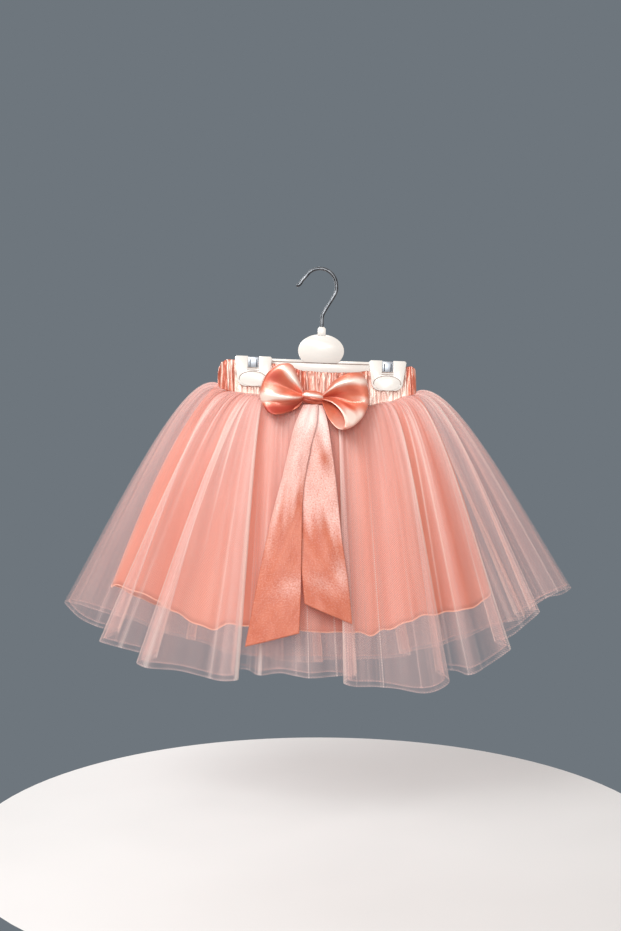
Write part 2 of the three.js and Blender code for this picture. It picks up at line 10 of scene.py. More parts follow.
import bpy
import numpy as np
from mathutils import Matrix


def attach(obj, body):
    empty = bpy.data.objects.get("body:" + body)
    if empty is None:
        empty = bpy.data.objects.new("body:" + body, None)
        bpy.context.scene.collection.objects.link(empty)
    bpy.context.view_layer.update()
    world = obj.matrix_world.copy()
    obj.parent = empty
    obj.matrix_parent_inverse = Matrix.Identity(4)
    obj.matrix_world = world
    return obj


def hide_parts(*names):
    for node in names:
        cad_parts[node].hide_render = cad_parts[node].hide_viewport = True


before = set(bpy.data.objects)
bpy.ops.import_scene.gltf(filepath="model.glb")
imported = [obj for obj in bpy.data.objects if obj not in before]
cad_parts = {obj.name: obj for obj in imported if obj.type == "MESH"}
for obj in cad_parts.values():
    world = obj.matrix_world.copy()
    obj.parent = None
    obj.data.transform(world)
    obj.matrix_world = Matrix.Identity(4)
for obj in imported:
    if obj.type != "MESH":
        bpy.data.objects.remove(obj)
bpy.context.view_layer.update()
MM = 0.001

# %% [markdown]
# ## The camera
# The photograph looks level at the front of the skirt from a little over a metre. A real size at the hanger's plane
# is 1.05 mm for each pixel, so the lens follows from that scale and from how far away the camera stands.

# %% Camera
VIEW = {"x": -10, "z": -205, "distance": 1150, "mm_per_pixel": 1.05, "pixels": 621, "sensor": 36}

camera_data = bpy.data.cameras.new("camera")
camera_data.sensor_fit = "HORIZONTAL"
camera_data.sensor_width = VIEW["sensor"]
camera_data.lens = VIEW["sensor"] * VIEW["distance"] / (VIEW["mm_per_pixel"] * VIEW["pixels"])
camera = bpy.data.objects.new("camera", camera_data)
camera.location = (VIEW["x"] * MM, -VIEW["distance"] * MM, VIEW["z"] * MM)
camera.rotation_euler = (math.radians(90), 0, 0)
scene = bpy.context.scene
scene.collection.objects.link(camera)
scene.camera = camera
print("lens", round(camera_data.lens, 1), "mm")

# %% [markdown]
# ## Shader arithmetic
# A finish is easier to read as a formula than as a page of node calls. One small class wraps a socket, and Python's
# own operators then add the Math nodes. It serves materials and Geometry Nodes alike, because both use them.

# %% A socket that can be added, multiplied and raised
class Value:
    """One output of a node tree, ready for ordinary arithmetic."""

    def __init__(self, tree, socket):
        self.tree = tree
        self.socket = socket

    def maths(self, operation, *values):
        node = self.tree.nodes.new("ShaderNodeMath")
        node.operation = operation
        for slot, value in zip(node.inputs, values):
            plug(self.tree, slot, value)
        return Value(self.tree, node.outputs[0])

    def __add__(self, other):
        return self.maths("ADD", self, other)

    def __radd__(self, other):
        return self.maths("ADD", other, self)

    def __sub__(self, other):
        return self.maths("SUBTRACT", self, other)

    def __rsub__(self, other):
        return self.maths("SUBTRACT", other, self)

    def __mul__(self, other):
        return self.maths("MULTIPLY", self, other)

    def __rmul__(self, other):
        return self.maths("MULTIPLY", other, self)

    def __truediv__(self, other):
        return self.maths("DIVIDE", self, other)

    def __pow__(self, other):
        return self.maths("POWER", self, other)

    def sine(self):
        return self.maths("SINE", self)

    def size(self):
        return self.maths("ABSOLUTE", self)

    def within(self, low, high):
        return self.maths("MINIMUM", self.maths("MAXIMUM", self, low), high)


def plug(tree, slot, value):
    """Link a wrapped socket into a node's input, or set a plain number, colour or vector there."""
    if isinstance(value, Value):
        tree.links.new(value.socket, slot)
    else:
        slot.default_value = value


def add_node(tree, kind, settings=None, values=None, output=0):
    """Any node: its type, its settings first, then its inputs by name or number."""
    node = tree.nodes.new(kind)
    for name, setting in (settings or {}).items():
        setattr(node, name, setting)
    for name, value in (values or {}).items():
        plug(tree, node.inputs[name], value)
    return Value(tree, node.outputs[output])


# %% A finish: one material with its maths
class Finish:
    """A Principled material whose plain numbers are set on the shader and whose patterns are formulas."""

    def __init__(self, name, **plain):
        self.material = bpy.data.materials.new(name)
        self.material.use_nodes = True
        self.tree = self.material.node_tree
        self.shader = self.tree.nodes["Principled BSDF"]
        for key, value in plain.items():
            self.set(key.replace("_", " ").title().replace("Ior", "IOR"), value)

    def set(self, socket, value):
        plug(self.tree, self.shader.inputs[socket], value)

    def node(self, kind, settings=None, values=None, output=0):
        return add_node(self.tree, kind, settings, values, output)

    def place(self):
        return self.node("ShaderNodeTexCoord", output="Object")

    def cloth_place(self):
        """U along the cloth and V down it, in metres of flat cloth."""
        return self.node("ShaderNodeUVMap", {"uv_map": "cloth"})

    def mark(self, name):
        """A number that the mesh stores at each of its points."""
        return self.node("ShaderNodeAttribute", {"attribute_name": name}, output="Fac")

    def noise(self, where, scale, detail=2.0, rough=0.5):
        """Noise over a place. A scale of three numbers stretches it along the axes."""
        if isinstance(scale, tuple):
            where = self.node("ShaderNodeVectorMath", {"operation": "MULTIPLY"}, {0: where, 1: scale})
            scale = 1.0
        return self.node("ShaderNodeTexNoise", values={
            "Vector": where, "Scale": scale, "Detail": detail, "Roughness": rough})

    def colours(self, factor, first, second):
        """Two colours blended by a factor between 0 and 1."""
        node = self.tree.nodes.new("ShaderNodeMix")
        node.data_type = "RGBA"
        for index, value in ((0, factor), (6, first), (7, second)):
            plug(self.tree, node.inputs[index], value)
        return Value(self.tree, node.outputs[2])

    def bump(self, height, strength, distance):
        self.set("Normal", self.node("ShaderNodeBump", values={
            "Height": height, "Strength": strength, "Distance": distance}, output="Normal"))


def srgb(red, green, blue):
    """A colour as seen on a screen, 0 to 255, turned into the linear one that a shader takes."""
    linear = [(c / 255 / 12.92) if c < 11 else ((c / 255 + 0.055) / 1.055) ** 2.4 for c in (red, green, blue)]
    return (*linear, 1.0)


# %% [markdown]
# ## Satin
# Satin floats long threads over its face, so light runs along them: broad bright streaks on every fold, deep
# colour between. A low roughness with a touch of metallic tint gives the coloured part of that shine, and a thin
# coat the white part. A mark on each mesh also paints light into the colour: painted highlights towards a pale tone
# and painted shade towards a deep one. Fine threads and soft crumples come from noise, stretched along the cloth.

# %% Satin finishes
def satin(name, tones, crumple, grain, gloss=0.6, rough=0.26, metal=0.3):
    """Ribbon satin. A mark on its mesh holds painted light: painted highlight up to 1, painted shade down to -1."""
    finish = Finish(name, metallic=metal, specular_ior_level=0.7, sheen_weight=0.1, sheen_roughness=0.4,
                    coat_roughness=0.24, coat_ior=1.7)
    uv = finish.cloth_place()
    patches = finish.noise(uv, (75.0, 52.5, 1.0), 4.0, 0.6)
    crinkle = finish.noise(uv, (520.0, 640.0, 1.0), 3.0, 0.7)
    threads = finish.noise(uv, (420.0, 1300.0, 1.0))
    wrinkles = finish.noise(uv, (120.0, 70.0, 1.0), 3.0, 0.55)
    # The mesh mark holds painted light: above 0 a painted highlight, below 0 painted shade.
    turned = finish.mark("turned")
    cloth = finish.colours((patches * 2.2 - 0.6).within(0, 1), tones["deep"], tones["light"])
    # Painted shade: the cloth is darkened towards the away tone where the mark is below 0.
    away = (turned * -1.0).within(0, 1)
    cloth_with_painted_shade = finish.colours(away, cloth, tones["away"])
    # Painted highlight towards the pale tone, broken up by fine painted specks of sheen.
    painted_highlight_and_specks = turned * (0.55 + patches * 0.9) + (crinkle - 0.5) * (turned * 0.8 + 0.35) * grain
    finish.set("Base Color", finish.colours(painted_highlight_and_specks.within(0, 1), cloth_with_painted_shade, tones["pale"]))
    finish.set("Roughness", rough + threads * 0.12 + patches * 0.06 + away * 0.2)
    finish.set("Coat Weight", gloss * (1 - away * 0.9))
    finish.bump(wrinkles * crumple + threads * 0.1 + crinkle * 0.25 * grain, 1.0, 0.0012)
    return finish.material


# Each satin's pale tone is the colour of its painted highlights, and its away tone the colour of its painted shade.
band_satin = satin("waistband_satin", {"deep": srgb(190, 84, 56), "light": srgb(226, 130, 100),
                                       "pale": srgb(255, 240, 228), "away": srgb(150, 52, 34)}, 0.3, 0.3)
ribbon_satin = satin("ribbon_satin", {"deep": srgb(214, 104, 74), "light": srgb(232, 132, 102),
                                      "pale": srgb(255, 232, 220), "away": srgb(176, 58, 38)}, 0.35, 0.25)
tail_satin = satin("bow_tail_satin", {"deep": srgb(194, 94, 64), "light": srgb(211, 118, 88),
                                      "pale": srgb(255, 220, 214), "away": srgb(168, 72, 48)}, 0.15, 2.5,
                   gloss=0.12, rough=0.44, metal=0.1)
print("satin finishes:", band_satin.name, ribbon_satin.name, tail_satin.name)


# %% Lining satin, softer and duller than the ribbon
def lining_finish(name, deep, light):
    finish = Finish(name, sheen_weight=0.2, sheen_roughness=0.5, coat_weight=0.08, coat_roughness=0.4)
    uv = finish.cloth_place()
    weave = finish.noise(uv, (700.0, 160.0, 1.0), 1.0)
    creases = finish.noise(uv, (26.0, 9.0, 1.0), 5.0, 0.62)
    tone = finish.noise(uv, (18.0, 7.0, 1.0), 3.0)
    finish.set("Base Color", finish.colours((tone * 1.8 - 0.4).within(0, 1), deep, light))
    finish.set("Roughness", 0.42 + weave * 0.12)
    finish.bump(creases * 0.9 + weave * 0.04, 0.9, 0.003)
    return finish.material


lining_satin = lining_finish("lining_satin", srgb(211, 118, 95), srgb(229, 149, 127))
hem_satin = lining_finish("lining_hem_satin", srgb(244, 168, 142), srgb(250, 190, 166))

# %% [markdown]
# ## Tulle
# Tulle is a net of six-sided holes about a millimetre wide, and from a metre away it reads as a thin veil. Each
# layer is an open sheet that lets most light through. Where the cloth is gathered, more of it lies in the same
# width, so its cover grows by the power rule: two layers let through the square of what one does. The mesh stores
# how many widths of flat cloth lie in each width of skirt, and the formula takes the power from there. The holes are
# drawn 2.6 mm wide, so that they still show as net in the picture.

# %% Net finish
NET = {"cover": 0.118, "hole": 0.0026, "grain": 1.9}


def net_finish(name, cover, deep, light):
    finish = Finish(name, roughness=0.8, sheen_weight=0.3, sheen_roughness=0.35, specular_ior_level=0.25)
    uv = finish.cloth_place()
    along, down = (finish.node("ShaderNodeSeparateXYZ", values={0: uv}, output=axis) for axis in "XY")
    turn = 2 * math.pi / NET["hole"]
    waves = (along * turn).sine() * ((along * 0.5 + down * 0.866) * turn).sine() \
        * ((along * 0.5 - down * 0.866) * turn).sine()
    cloud = finish.noise(uv, (70.0, 14.0, 1.0), 4.0, 0.6)
    speck = finish.noise(uv, (520.0, 430.0, 1.0), 1.0)
    one = (cover * (1 + waves * NET["grain"]) * (0.45 + cloud * 0.6 + speck * 0.5)).within(0.01, 0.9)
    finish.set("Alpha", (1 - (1 - one) ** finish.mark("gathered")).within(0.01, 0.97))
    net = finish.colours((cloud * 1.6 - 0.3).within(0, 1), deep, light)
    # Painted highlight: the net is whitened along its pressed fold edges and crease lines.
    finish.set("Base Color", finish.colours((finish.mark("pressed") * 0.8).within(0, 1), net, srgb(255, 240, 232)))
    return finish.material


outer_net = net_finish("tulle_outer_net", NET["cover"], srgb(245, 201, 195), srgb(253, 223, 218))
under_net = net_finish("tulle_under_net", NET["cover"], srgb(241, 187, 179), srgb(249, 207, 200))

# %% [markdown]
# ## Hanger finishes
# The hanger is glossy white moulding with the faint flow marks of a cheap tool, and the hook is drawn wire that
# was rolled bright. Both are mostly shine, so their colour hardly varies and the roughness does the work.

# %% White plastic and bright steel
def plastic_finish(name, colour, rough, light=(238, 236, 232)):
    finish = Finish(name, coat_weight=0.4, coat_roughness=0.12, specular_ior_level=0.5)
    where = finish.place()
    flow = finish.noise(where, 60.0, 3.0)
    fine = finish.noise(where, 900.0, 1.0)
    finish.set("Base Color", finish.colours(flow * 0.6, colour, srgb(*light)))
    finish.set("Roughness", rough + flow * 0.12)
    finish.bump(flow * 0.5 + fine * 0.1, 0.4, 0.0004)
    return finish.material


def steel_finish(name, colour, rough):
    finish = Finish(name, metallic=1.0)
    where = finish.place()
    drawn = finish.noise(where, (900.0, 900.0, 60.0))
    worn = finish.noise(where, 130.0, 3.0)
    finish.set("Base Color", finish.colours((worn * 1.5 - 0.6).within(0, 1), colour, srgb(176, 180, 186)))
    finish.set("Roughness", rough + drawn * 0.12 + worn * 0.1)
    finish.bump(drawn, 0.3, 0.0001)
    return finish.material


hanger_white = plastic_finish("hanger_plastic", srgb(226, 223, 218), 0.24)
clip_white = plastic_finish("clip_plastic", srgb(228, 225, 220), 0.2)
# A dark brown for painted shadow lines, the shade in the clips' gaps and under the bar's rail, warmed by a painted
# reflection of the satin.
clip_painted_shadow = plastic_finish("clip_painted_shadow", srgb(128, 98, 86), 0.5, (150, 120, 106))
hook_steel = steel_finish("hook_steel", srgb(84, 88, 93), 0.24)
spring_steel = steel_finish("spring_steel", srgb(196, 204, 214), 0.38)

# %% [markdown]
# ## Tables and curves
# The cloth is laid out by short tables: sections across the waistband, and fold lines from the waist to the hem.
# Between the rows of a band table the value eases; round a table of fold lines a smooth closed curve is drawn.

# %% Reading the tables
def table(names, rows):
    """A table with named columns, as one array for each name."""
    return dict(zip(names.split(), np.array(rows, dtype=float).T))


def between(first, last, share):
    return first + (last - first) * share


def ramp(values, low, high):
    """0 up to low, 1 from high on, and a straight line between."""
    return np.clip((values - low) / (high - low), 0, 1)


def eased(values, low, high):
    """The same ramp, leaving and arriving gently."""
    share = ramp(values, low, high)
    return share * share * (3 - 2 * share)


def hill(values, middle, width):
    """1 at the middle, falling away smoothly on both sides."""
    return np.exp(-((values - middle) / width) ** 2)


def running(steps):
    """Distances along a line, from the lengths of its steps."""
    return np.concatenate([[0], np.cumsum(steps)])


def along_band(name, x):
    """A column of the band's table at any x, easing from each section to the next."""
    nodes, column = BAND_SECTIONS["x"], BAND_SECTIONS[name]
    k = np.clip(np.searchsorted(nodes, x, side="right") - 1, 0, len(nodes) - 2)
    return between(column[k], column[k + 1], eased(x, nodes[k], nodes[k + 1]))


def round_folds(folds, name, where, lap=0.0):
    """A column of a fold table as a smooth curve that closes on itself. where counts rows."""
    column = folds[name]
    count = len(column)
    k = np.floor(where).astype(int)
    t = where - k

    def pick(i):
        return column[i % count] + (i // count) * lap

    a, b, c, d = pick(k - 1), pick(k), pick(k + 1), pick(k + 2)
    t2, t3 = t * t, t * t * t
    return (2 * t3 - 3 * t2 + 1) * b + (t3 - 2 * t2 + t) * (c - a) / 2 \
        + (3 * t2 - 2 * t3) * c + (t3 - t2) * (d - b) / 2


# %% The waist line
BAND = {"left": -107.0, "right": 100.8, "square": 9}
BAND_SECTIONS = table("x top bottom front back gather", [
    (-107, -106.5, -119, 5.8, 5.8, 0.7),
    (-105.8, -101.2, -123, 5.8, 5.7, 0.8),
    (-103, -96.8, -125.4, 5.7, 5.5, 0.9),
    (-98, -94, -127, 5.4, 5.0, 0.9),
    (-90, -94, -129, 3.0, 3.0, 0.15),
    (-70, -95, -131, 1.2, 1.2, 0.1),
    (-50, -98, -136, 3.0, 3.0, 0.15),
    (-34, -102, -138, 8.4, 6.2, 1.2),
    (-14, -107, -141, 12.2, 8.8, 1.3),
    (12, -108.5, -143, 12.4, 9.0, 1.3),
    (34, -108, -144, 8.6, 6.4, 1.2),
    (50, -106, -143, 3.0, 3.0, 0.15),
    (70, -104.5, -139.5, 1.2, 1.2, 0.1),
    (90.4, -101.5, -133.5, 3.0, 3.0, 0.15),
    (95.5, -101.3, -132, 4.6, 4.6, 0.8),
    (98.6, -103.2, -131.4, 5.1, 5.1, 0.8),
    (100.2, -106.2, -130.2, 5.4, 5.4, 0.7),
    (100.8, -110, -128, 5.6, 5.6, 0.6),
])


def band_reach(x, front):
    """How far the free band stands off its middle plane, in front or behind."""
    return np.where(front, along_band("front", x), along_band("back", x))


def waist_line(at, half=None):
    """Places on the waist seen from above. at runs 0 to 1 along the front, left to right, and on to 2 behind."""
    side = np.cos(np.pi * at)
    x = between(BAND["left"], BAND["right"], (1 - side) / 2)
    front = np.sin(np.pi * at) >= 0
    end = np.sqrt(np.clip(1 - np.abs(side) ** BAND["square"], 0, None))
    reach = band_reach(x, front) if half is None else half
    return x, np.where(front, -reach, reach) * end, front


def waist_outward(at):
    """The level direction out of the waist line."""
    step = 0.002
    x0, y0, _ = waist_line(at - step)
    x1, y1, _ = waist_line(at + step)
    out = np.stack([y1 - y0, -(x1 - x0)], -1)
    return out / np.linalg.norm(out, axis=-1, keepdims=True)


def even_shares(count):
    """Values of at that share the waist line out into equal lengths."""
    fine = np.linspace(0, 2, count * 8 + 1)
    x, y, _ = waist_line(fine)
    lengths = running(np.hypot(np.diff(x), np.diff(y)))
    return np.interp(np.arange(count) / count * lengths[-1], lengths, fine), lengths[-1]


print("waist line, mm:", round(even_shares(400)[1]))


# %% Meshes from grids
def link(name, mesh):
    piece = bpy.data.objects.new(name, mesh)
    scene.collection.objects.link(piece)
    return piece


def cloth_mesh(name, grid, flat_u, flat_v, ring, attributes=None):
    """Quads over a grid in millimetres, rows down and columns round, with a UV map in metres of flat cloth."""
    rows, columns = grid.shape[:2]
    i, j = np.meshgrid(np.arange(rows - 1), np.arange(columns if ring else columns - 1), indexing="ij")
    i, j = i.ravel(), j.ravel()
    right = (j + 1) % columns
    quads = np.stack([i * columns + j, (i + 1) * columns + j, (i + 1) * columns + right, i * columns + right], -1)
    mesh = bpy.data.meshes.new(name)
    mesh.from_pydata((grid.reshape(-1, 3) * MM).tolist(), [], quads.tolist())
    layer = mesh.uv_layers.new(name="cloth")
    corner_u = np.stack([flat_u[j], flat_u[j], flat_u[j + 1], flat_u[j + 1]], -1)
    corner_v = np.stack([flat_v[i], flat_v[i + 1], flat_v[i + 1], flat_v[i]], -1)
    layer.data.foreach_set("uv", np.stack([corner_u, corner_v], -1).astype(np.float32).ravel())
    for key, values in (attributes or {}).items():
        mesh.attributes.new(key, "FLOAT", "POINT").data.foreach_set("value", values.astype(np.float32).ravel())
    mesh.shade_smooth()
    return mesh


def lengths_along(grid, axis):
    return np.linalg.norm(np.diff(grid, axis=axis), axis=-1)


def ring_steps(grid):
    return lengths_along(np.concatenate([grid, grid[:, :1]], axis=1), 1)


def area_of(mesh):
    mesh.calc_loop_triangles()
    return sum(t.area for t in mesh.loop_triangles)


def settle(piece, material):
    """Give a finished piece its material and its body."""
    piece.data.materials.clear()
    piece.data.materials.append(material)
    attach(piece, "root")
    return piece


def baked(piece):
    """The piece with its modifiers applied, as a plain mesh."""
    graph = bpy.context.evaluated_depsgraph_get()
    mesh = bpy.data.meshes.new_from_object(piece.evaluated_get(graph))
    piece.modifiers.clear()
    piece.data = mesh
    return piece


def walled(piece, wall, material):
    """Give a cloth piece its thin wall and settle it. The area of one face of the cloth comes back with it."""
    thick = piece.modifiers.new("wall", "SOLIDIFY")
    thick.thickness = wall * MM
    thick.offset = 0
    settle(baked(piece), material)
    return piece, area_of(piece.data) / 2


# %% [markdown]
# ## The net layers
# On the real skirt a long strip of tulle is gathered into the waist seam, and its stiffness makes it puff out
# before it falls. So every fold line starts level at the seam and bends down to its own place at the hem. The hem's
# table holds the large folds as seen, with the ones that lap over their neighbours written as a turn: out behind,
# back to the tip in front, and on. Small gathers start at the seam and die out on the way down. They are the same
# in both layers, which are gathered and sewn as one, so the layers keep clear of each other nearly everywhere.

# %% Fold lines of the outer net
TULLE_FOLDS = table("at x y z full", [
    (0.000, -271, 4, -348, 1.2),
    (0.050, -250, -17, -362, 0.9),
    (0.130, -229, -23, -371, 0.8),
    (0.175, -207, -29, -376, 0.7),
    (0.200, -222, -47, -381, 1.9),
    (0.220, -212, -55, -384, 1.2),
    (0.250, -187, -48, -392, 0.9),
    (0.272, -165, -50, -398, 0.6),
    (0.285, -182, -72, -398, 2.0),
    (0.292, -169, -80, -403, 1.7),
    (0.300, -142, -66, -408, 0.9),
    (0.309, -118, -78, -411, 1.1),
    (0.318, -97, -88, -414, 1.6),
    (0.325, -82, -86, -413, 1.9),
    (0.332, -90, -62, -409, 0.3),
    (0.342, -74, -60, -408, 0.25),
    (0.365, -60, -75, -411, 1.5),
    (0.400, -38, -64, -411, 1.3),
    (0.440, -14, -79, -413, 1.3),
    (0.490, 8, -68, -414, 0.8),
    (0.530, 24, -60, -414, 1.2),
    (0.552, 36, -58, -415, 0.5),
    (0.565, 23, -78, -417, 1.9),
    (0.580, 32, -85, -420, 1.3),
    (0.615, 55, -77, -422, 0.8),
    (0.655, 75, -87, -422, 1.2),
    (0.695, 99, -93, -425, 1.0),
    (0.722, 116, -92, -421, 1.5),
    (0.738, 125, -82, -415, 1.9),
    (0.750, 114, -60, -410, 0.25),
    (0.764, 131, -55, -410, 0.2),
    (0.785, 147, -68, -412, 1.4),
    (0.806, 165, -60, -405, 0.45),
    (0.822, 187, -52, -393, 1.7),
    (0.836, 192, -44, -389, 1.6),
    (0.845, 177, -32, -385, 0.3),
    (0.860, 193, -36, -379, 0.6),
    (0.882, 207, -38, -368, 0.6),
    (0.902, 226, -33, -353, 1.6),
    (0.914, 218, -22, -352, 0.3),
    (0.935, 234, -17, -342, 0.5),
    (0.968, 250, -13, -339, 0.55),
    (1.000, 264, 3, -334, 1.2),
    (1.040, 256, 20, -339, 0.9),
    (1.090, 241, 22, -348, 1.2),
    (1.140, 228, 42, -361, 0.8),
    (1.175, 214, 44, -367, 1.6),
    (1.205, 220, 30, -369, 0.5),
    (1.230, 190, 34, -377, 1.1),
    (1.270, 168, 53, -391, 0.8),
    (1.330, 132, 45, -401, 1.3),
    (1.370, 112, 58, -408, 0.9),
    (1.405, 88, 60, -412, 1.8),
    (1.425, 99, 44, -412, 0.6),
    (1.455, 62, 47, -416, 1.0),
    (1.510, 24, 60, -419, 1.3),
    (1.555, -6, 58, -420, 0.8),
    (1.575, 4, 43, -419, 1.7),
    (1.600, -32, 46, -419, 0.6),
    (1.640, -62, 59, -416, 1.2),
    (1.690, -98, 47, -410, 0.9),
    (1.740, -126, 57, -401, 1.4),
    (1.765, -146, 54, -396, 0.7),
    (1.790, -135, 38, -394, 1.1),
    (1.820, -176, 38, -384, 0.9),
    (1.870, -208, 44, -372, 1.2),
    (1.920, -236, 25, -362, 1.0),
    (1.960, -258, 22, -354, 1.0),
])
TULLE = {"columns": 1200, "rings": 42, "stand": 0.0, "start": -0.6, "puff": (15, 35), "lift": (1, 14),
         "out": 0.545, "down": 0.41, "turning": 9.0, "hem_row": 0.995, "gather_seed": 11, "soft": 1.7, "drift": 2.6,
         "full": (0.2, 2.2)}
GATHERS = ({"waves": 127, "depth": 0.45, "reach": 0.45}, {"waves": 61, "depth": 0.65, "reach": 0.7},
           {"waves": 211, "depth": 0.35, "reach": 0.35})


def fall(rows, first, second, hem, top):
    """A cubic curve from the waist to the hem, one for each column."""
    t = rows[:, None, None]
    return (1 - t) ** 3 * top + 3 * t * (1 - t) ** 2 * first + 3 * t * t * (1 - t) * second + t ** 3 * hem


def fold_tops(folds, where, stand, start):
    at = round_folds(folds, "at", where, 2.0)
    x, y, _ = waist_line(at)
    out = waist_outward(at)
    z = along_band("bottom", x) - start
    return at, np.stack([x + out[:, 0] * stand, y + out[:, 1] * stand, z], -1)


def fold_hems(folds, where):
    return np.stack([round_folds(folds, key, where) for key in "xyz"], -1)


def wobble(angle, waves, rng):
    """A smooth closed curve of random size, about -1 to 1, over angles that go once round."""
    total = np.zeros_like(angle)
    for n in waves:
        total += rng.normal() * np.cos(n * angle + rng.uniform(0, 2 * np.pi))
    return total / len(waves) ** 0.5


def fold_columns(folds, count, turning):
    """Row numbers for the columns, closer together where the hem turns back on itself."""
    fine = np.arange(len(folds["x"]) * 40) / 40
    line = round_folds(folds, "x", fine) + 1j * round_folds(folds, "y", fine)
    step = np.roll(line, -1) - line
    turn = np.abs(np.angle(step / np.roll(step, 1)))
    weight = running(np.abs(step) + turning * turn)
    return np.interp(np.arange(count) / count * weight[-1], weight, np.append(fine, len(folds["x"])))


def outward_of(grid):
    """Unit normals of a ring's grid, pointing out."""
    around = np.roll(grid, -1, axis=1) - np.roll(grid, 1, axis=1)
    normals = np.cross(np.gradient(grid, axis=0), around)
    return normals / np.linalg.norm(normals, axis=-1, keepdims=True)


def smooth_round(values, times):
    for _ in range(times):
        values = (np.roll(values, 1, -1) + 2 * values + np.roll(values, -1, -1)) / 4
    return values


def net_grid(seed, inset_top, inset_hem, shorten, soften):
    """Smooth points of one net layer, and the same points with gathers and soft folds."""
    shared = np.random.default_rng(TULLE["gather_seed"])
    rng = np.random.default_rng(seed)
    where = fold_columns(TULLE_FOLDS, TULLE["columns"], TULLE["turning"])
    at, top = fold_tops(TULLE_FOLDS, where, TULLE["stand"], TULLE["start"])
    hem = smooth_round(fold_hems(TULLE_FOLDS, where).T, soften).T
    drop = hem - top
    level = drop * (1, 1, 0)
    level /= np.linalg.norm(level, axis=-1, keepdims=True)
    side = np.abs(np.cos(np.pi * at))[:, None]
    first = top + level * between(*TULLE["puff"], side)
    first[:, 2:] += between(*TULLE["lift"], side ** 2)
    second = top + drop * (TULLE["out"], TULLE["out"], TULLE["down"])
    rows = np.append(np.linspace(0, 1, TULLE["rings"] - 1)[:-1] ** 1.1, [TULLE["hem_row"], 1])
    smooth = fall(rows, first, second, hem, top)
    share = running(ring_steps(top[None])[0])
    angle = 2 * np.pi * share[:-1] / share[-1]
    down = rows[:, None]
    offset = TULLE["soft"] * wobble(angle, range(14, 44), shared) * down
    for gather in GATHERS:
        phase = gather["waves"] * angle + TULLE["drift"] * wobble(angle, range(3, 23), shared)
        depth = gather["depth"] * (1 + 0.5 * wobble(angle, range(9, 60), shared))
        fade = hill(down, 0, gather["reach"]) * np.minimum(down / 0.05, 1)
        offset = offset + np.cos(phase) * depth * fade
    cloth = smooth + outward_of(smooth) * (offset - between(inset_top, inset_hem, down))[..., None]
    cloth[..., 2] += shorten * (1 + 0.55 * wobble(angle, range(3, 15), rng)) * down ** 4
    full = np.clip(round_folds(TULLE_FOLDS, "full", where), *TULLE["full"])
    return smooth, cloth, rows, angle, full, rng


# %% Net sheets
PRESSED = {"bend": (0.12, 0.24), "below": (0.06, 0.26), "cover": 2.8}
LINES = {"over": 1.05, "most": 0.6, "below": (0, 0.15), "cover": 2.6, "shine": 1.2}
DENSITY = {"spread": (0.9, 3.4), "ripple": 1.4, "creases": 0.24, "fullness": 0.9, "hem": 2.0, "limits": (0.2, 6.0)}


def net_density(smooth, cloth, rows, angle, full, rng, sharp):
    """How many widths of flat net lie in each width of skirt, and where its folds are pressed sharp, where the
    colour gets a painted highlight.
    """
    widths = smooth_round(ring_steps(cloth)[-8:].mean(axis=0), 12)
    spread = smooth_round(ring_steps(smooth), 12)
    ripple = ring_steps(cloth) / np.maximum(ring_steps(smooth), 1e-6)
    ripple /= smooth_round(ripple, 60)
    line = smooth[..., 0] + 1j * smooth[..., 1]
    step = np.roll(line, -1, 1) - line
    bend = np.abs(np.angle(step / np.roll(step, 1, 1))) / np.maximum(np.abs(step), 0.1)
    down = rows[:, None]
    pressed = sharp * ramp(bend, *PRESSED["bend"]) * ramp(down, *PRESSED["below"])
    high, low = (wobble(angle, range(60, 330), rng) for _ in range(2))
    crease = between(high, low, down)
    lines = sharp * np.clip(crease - LINES["over"], 0, LINES["most"]) * ramp(down, *LINES["below"])
    density = np.clip(widths / spread, *DENSITY["spread"]) * ripple ** DENSITY["ripple"]
    density *= np.exp(DENSITY["creases"] * crease) * full ** (DENSITY["fullness"] * np.clip(down / 0.3, 0.25, 1))
    density += PRESSED["cover"] * pressed + LINES["cover"] * lines
    density[-1] += DENSITY["hem"]
    return {"gathered": np.clip(density, *DENSITY["limits"]),
            "pressed": np.clip(pressed + LINES["shine"] * lines, 0, 1)}


def net_layer(name, seed, material, sharp, **shape):
    smooth, cloth, rows, angle, full, rng = net_grid(seed, **shape)
    flat = ring_steps(cloth)[-8:].mean(axis=0)
    length = lengths_along(cloth, 0).sum(axis=0).mean() * MM
    mesh = cloth_mesh(name, cloth, running(flat) * MM, rows * length, True,
                      net_density(smooth, cloth, rows, angle, full, rng, sharp))
    print(name, "hem", round(flat.sum()), "mm, area", round(area_of(mesh), 3), "m2, faces", len(mesh.polygons))
    return settle(link(name, mesh), material), (flat.sum() * MM, length)


tulle_outer, outer_cut = net_layer("tulle_outer_net", 11, outer_net, 1, inset_top=0, inset_hem=0, shorten=0,
                                   soften=0)
tulle_under, under_cut = net_layer("tulle_under_net", 23, under_net, 0.4, inset_top=0.4, inset_hem=2.5,
                                   shorten=4.5, soften=70)
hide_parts("tulle_outer")
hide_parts("tulle_under")
for sheet, cut in ((tulle_outer, outer_cut), (tulle_under, under_cut)):
    print(sheet.name, "cut, m:", [round(side, 3) for side in cut])

# %% [markdown]
# ## The lining
# Under the net hangs a plain A-line tube of satin with a narrow rolled hem. It is one smooth surface on its own
# fold lines. Shallow waves run down it, deeper towards the hem where nothing holds it.

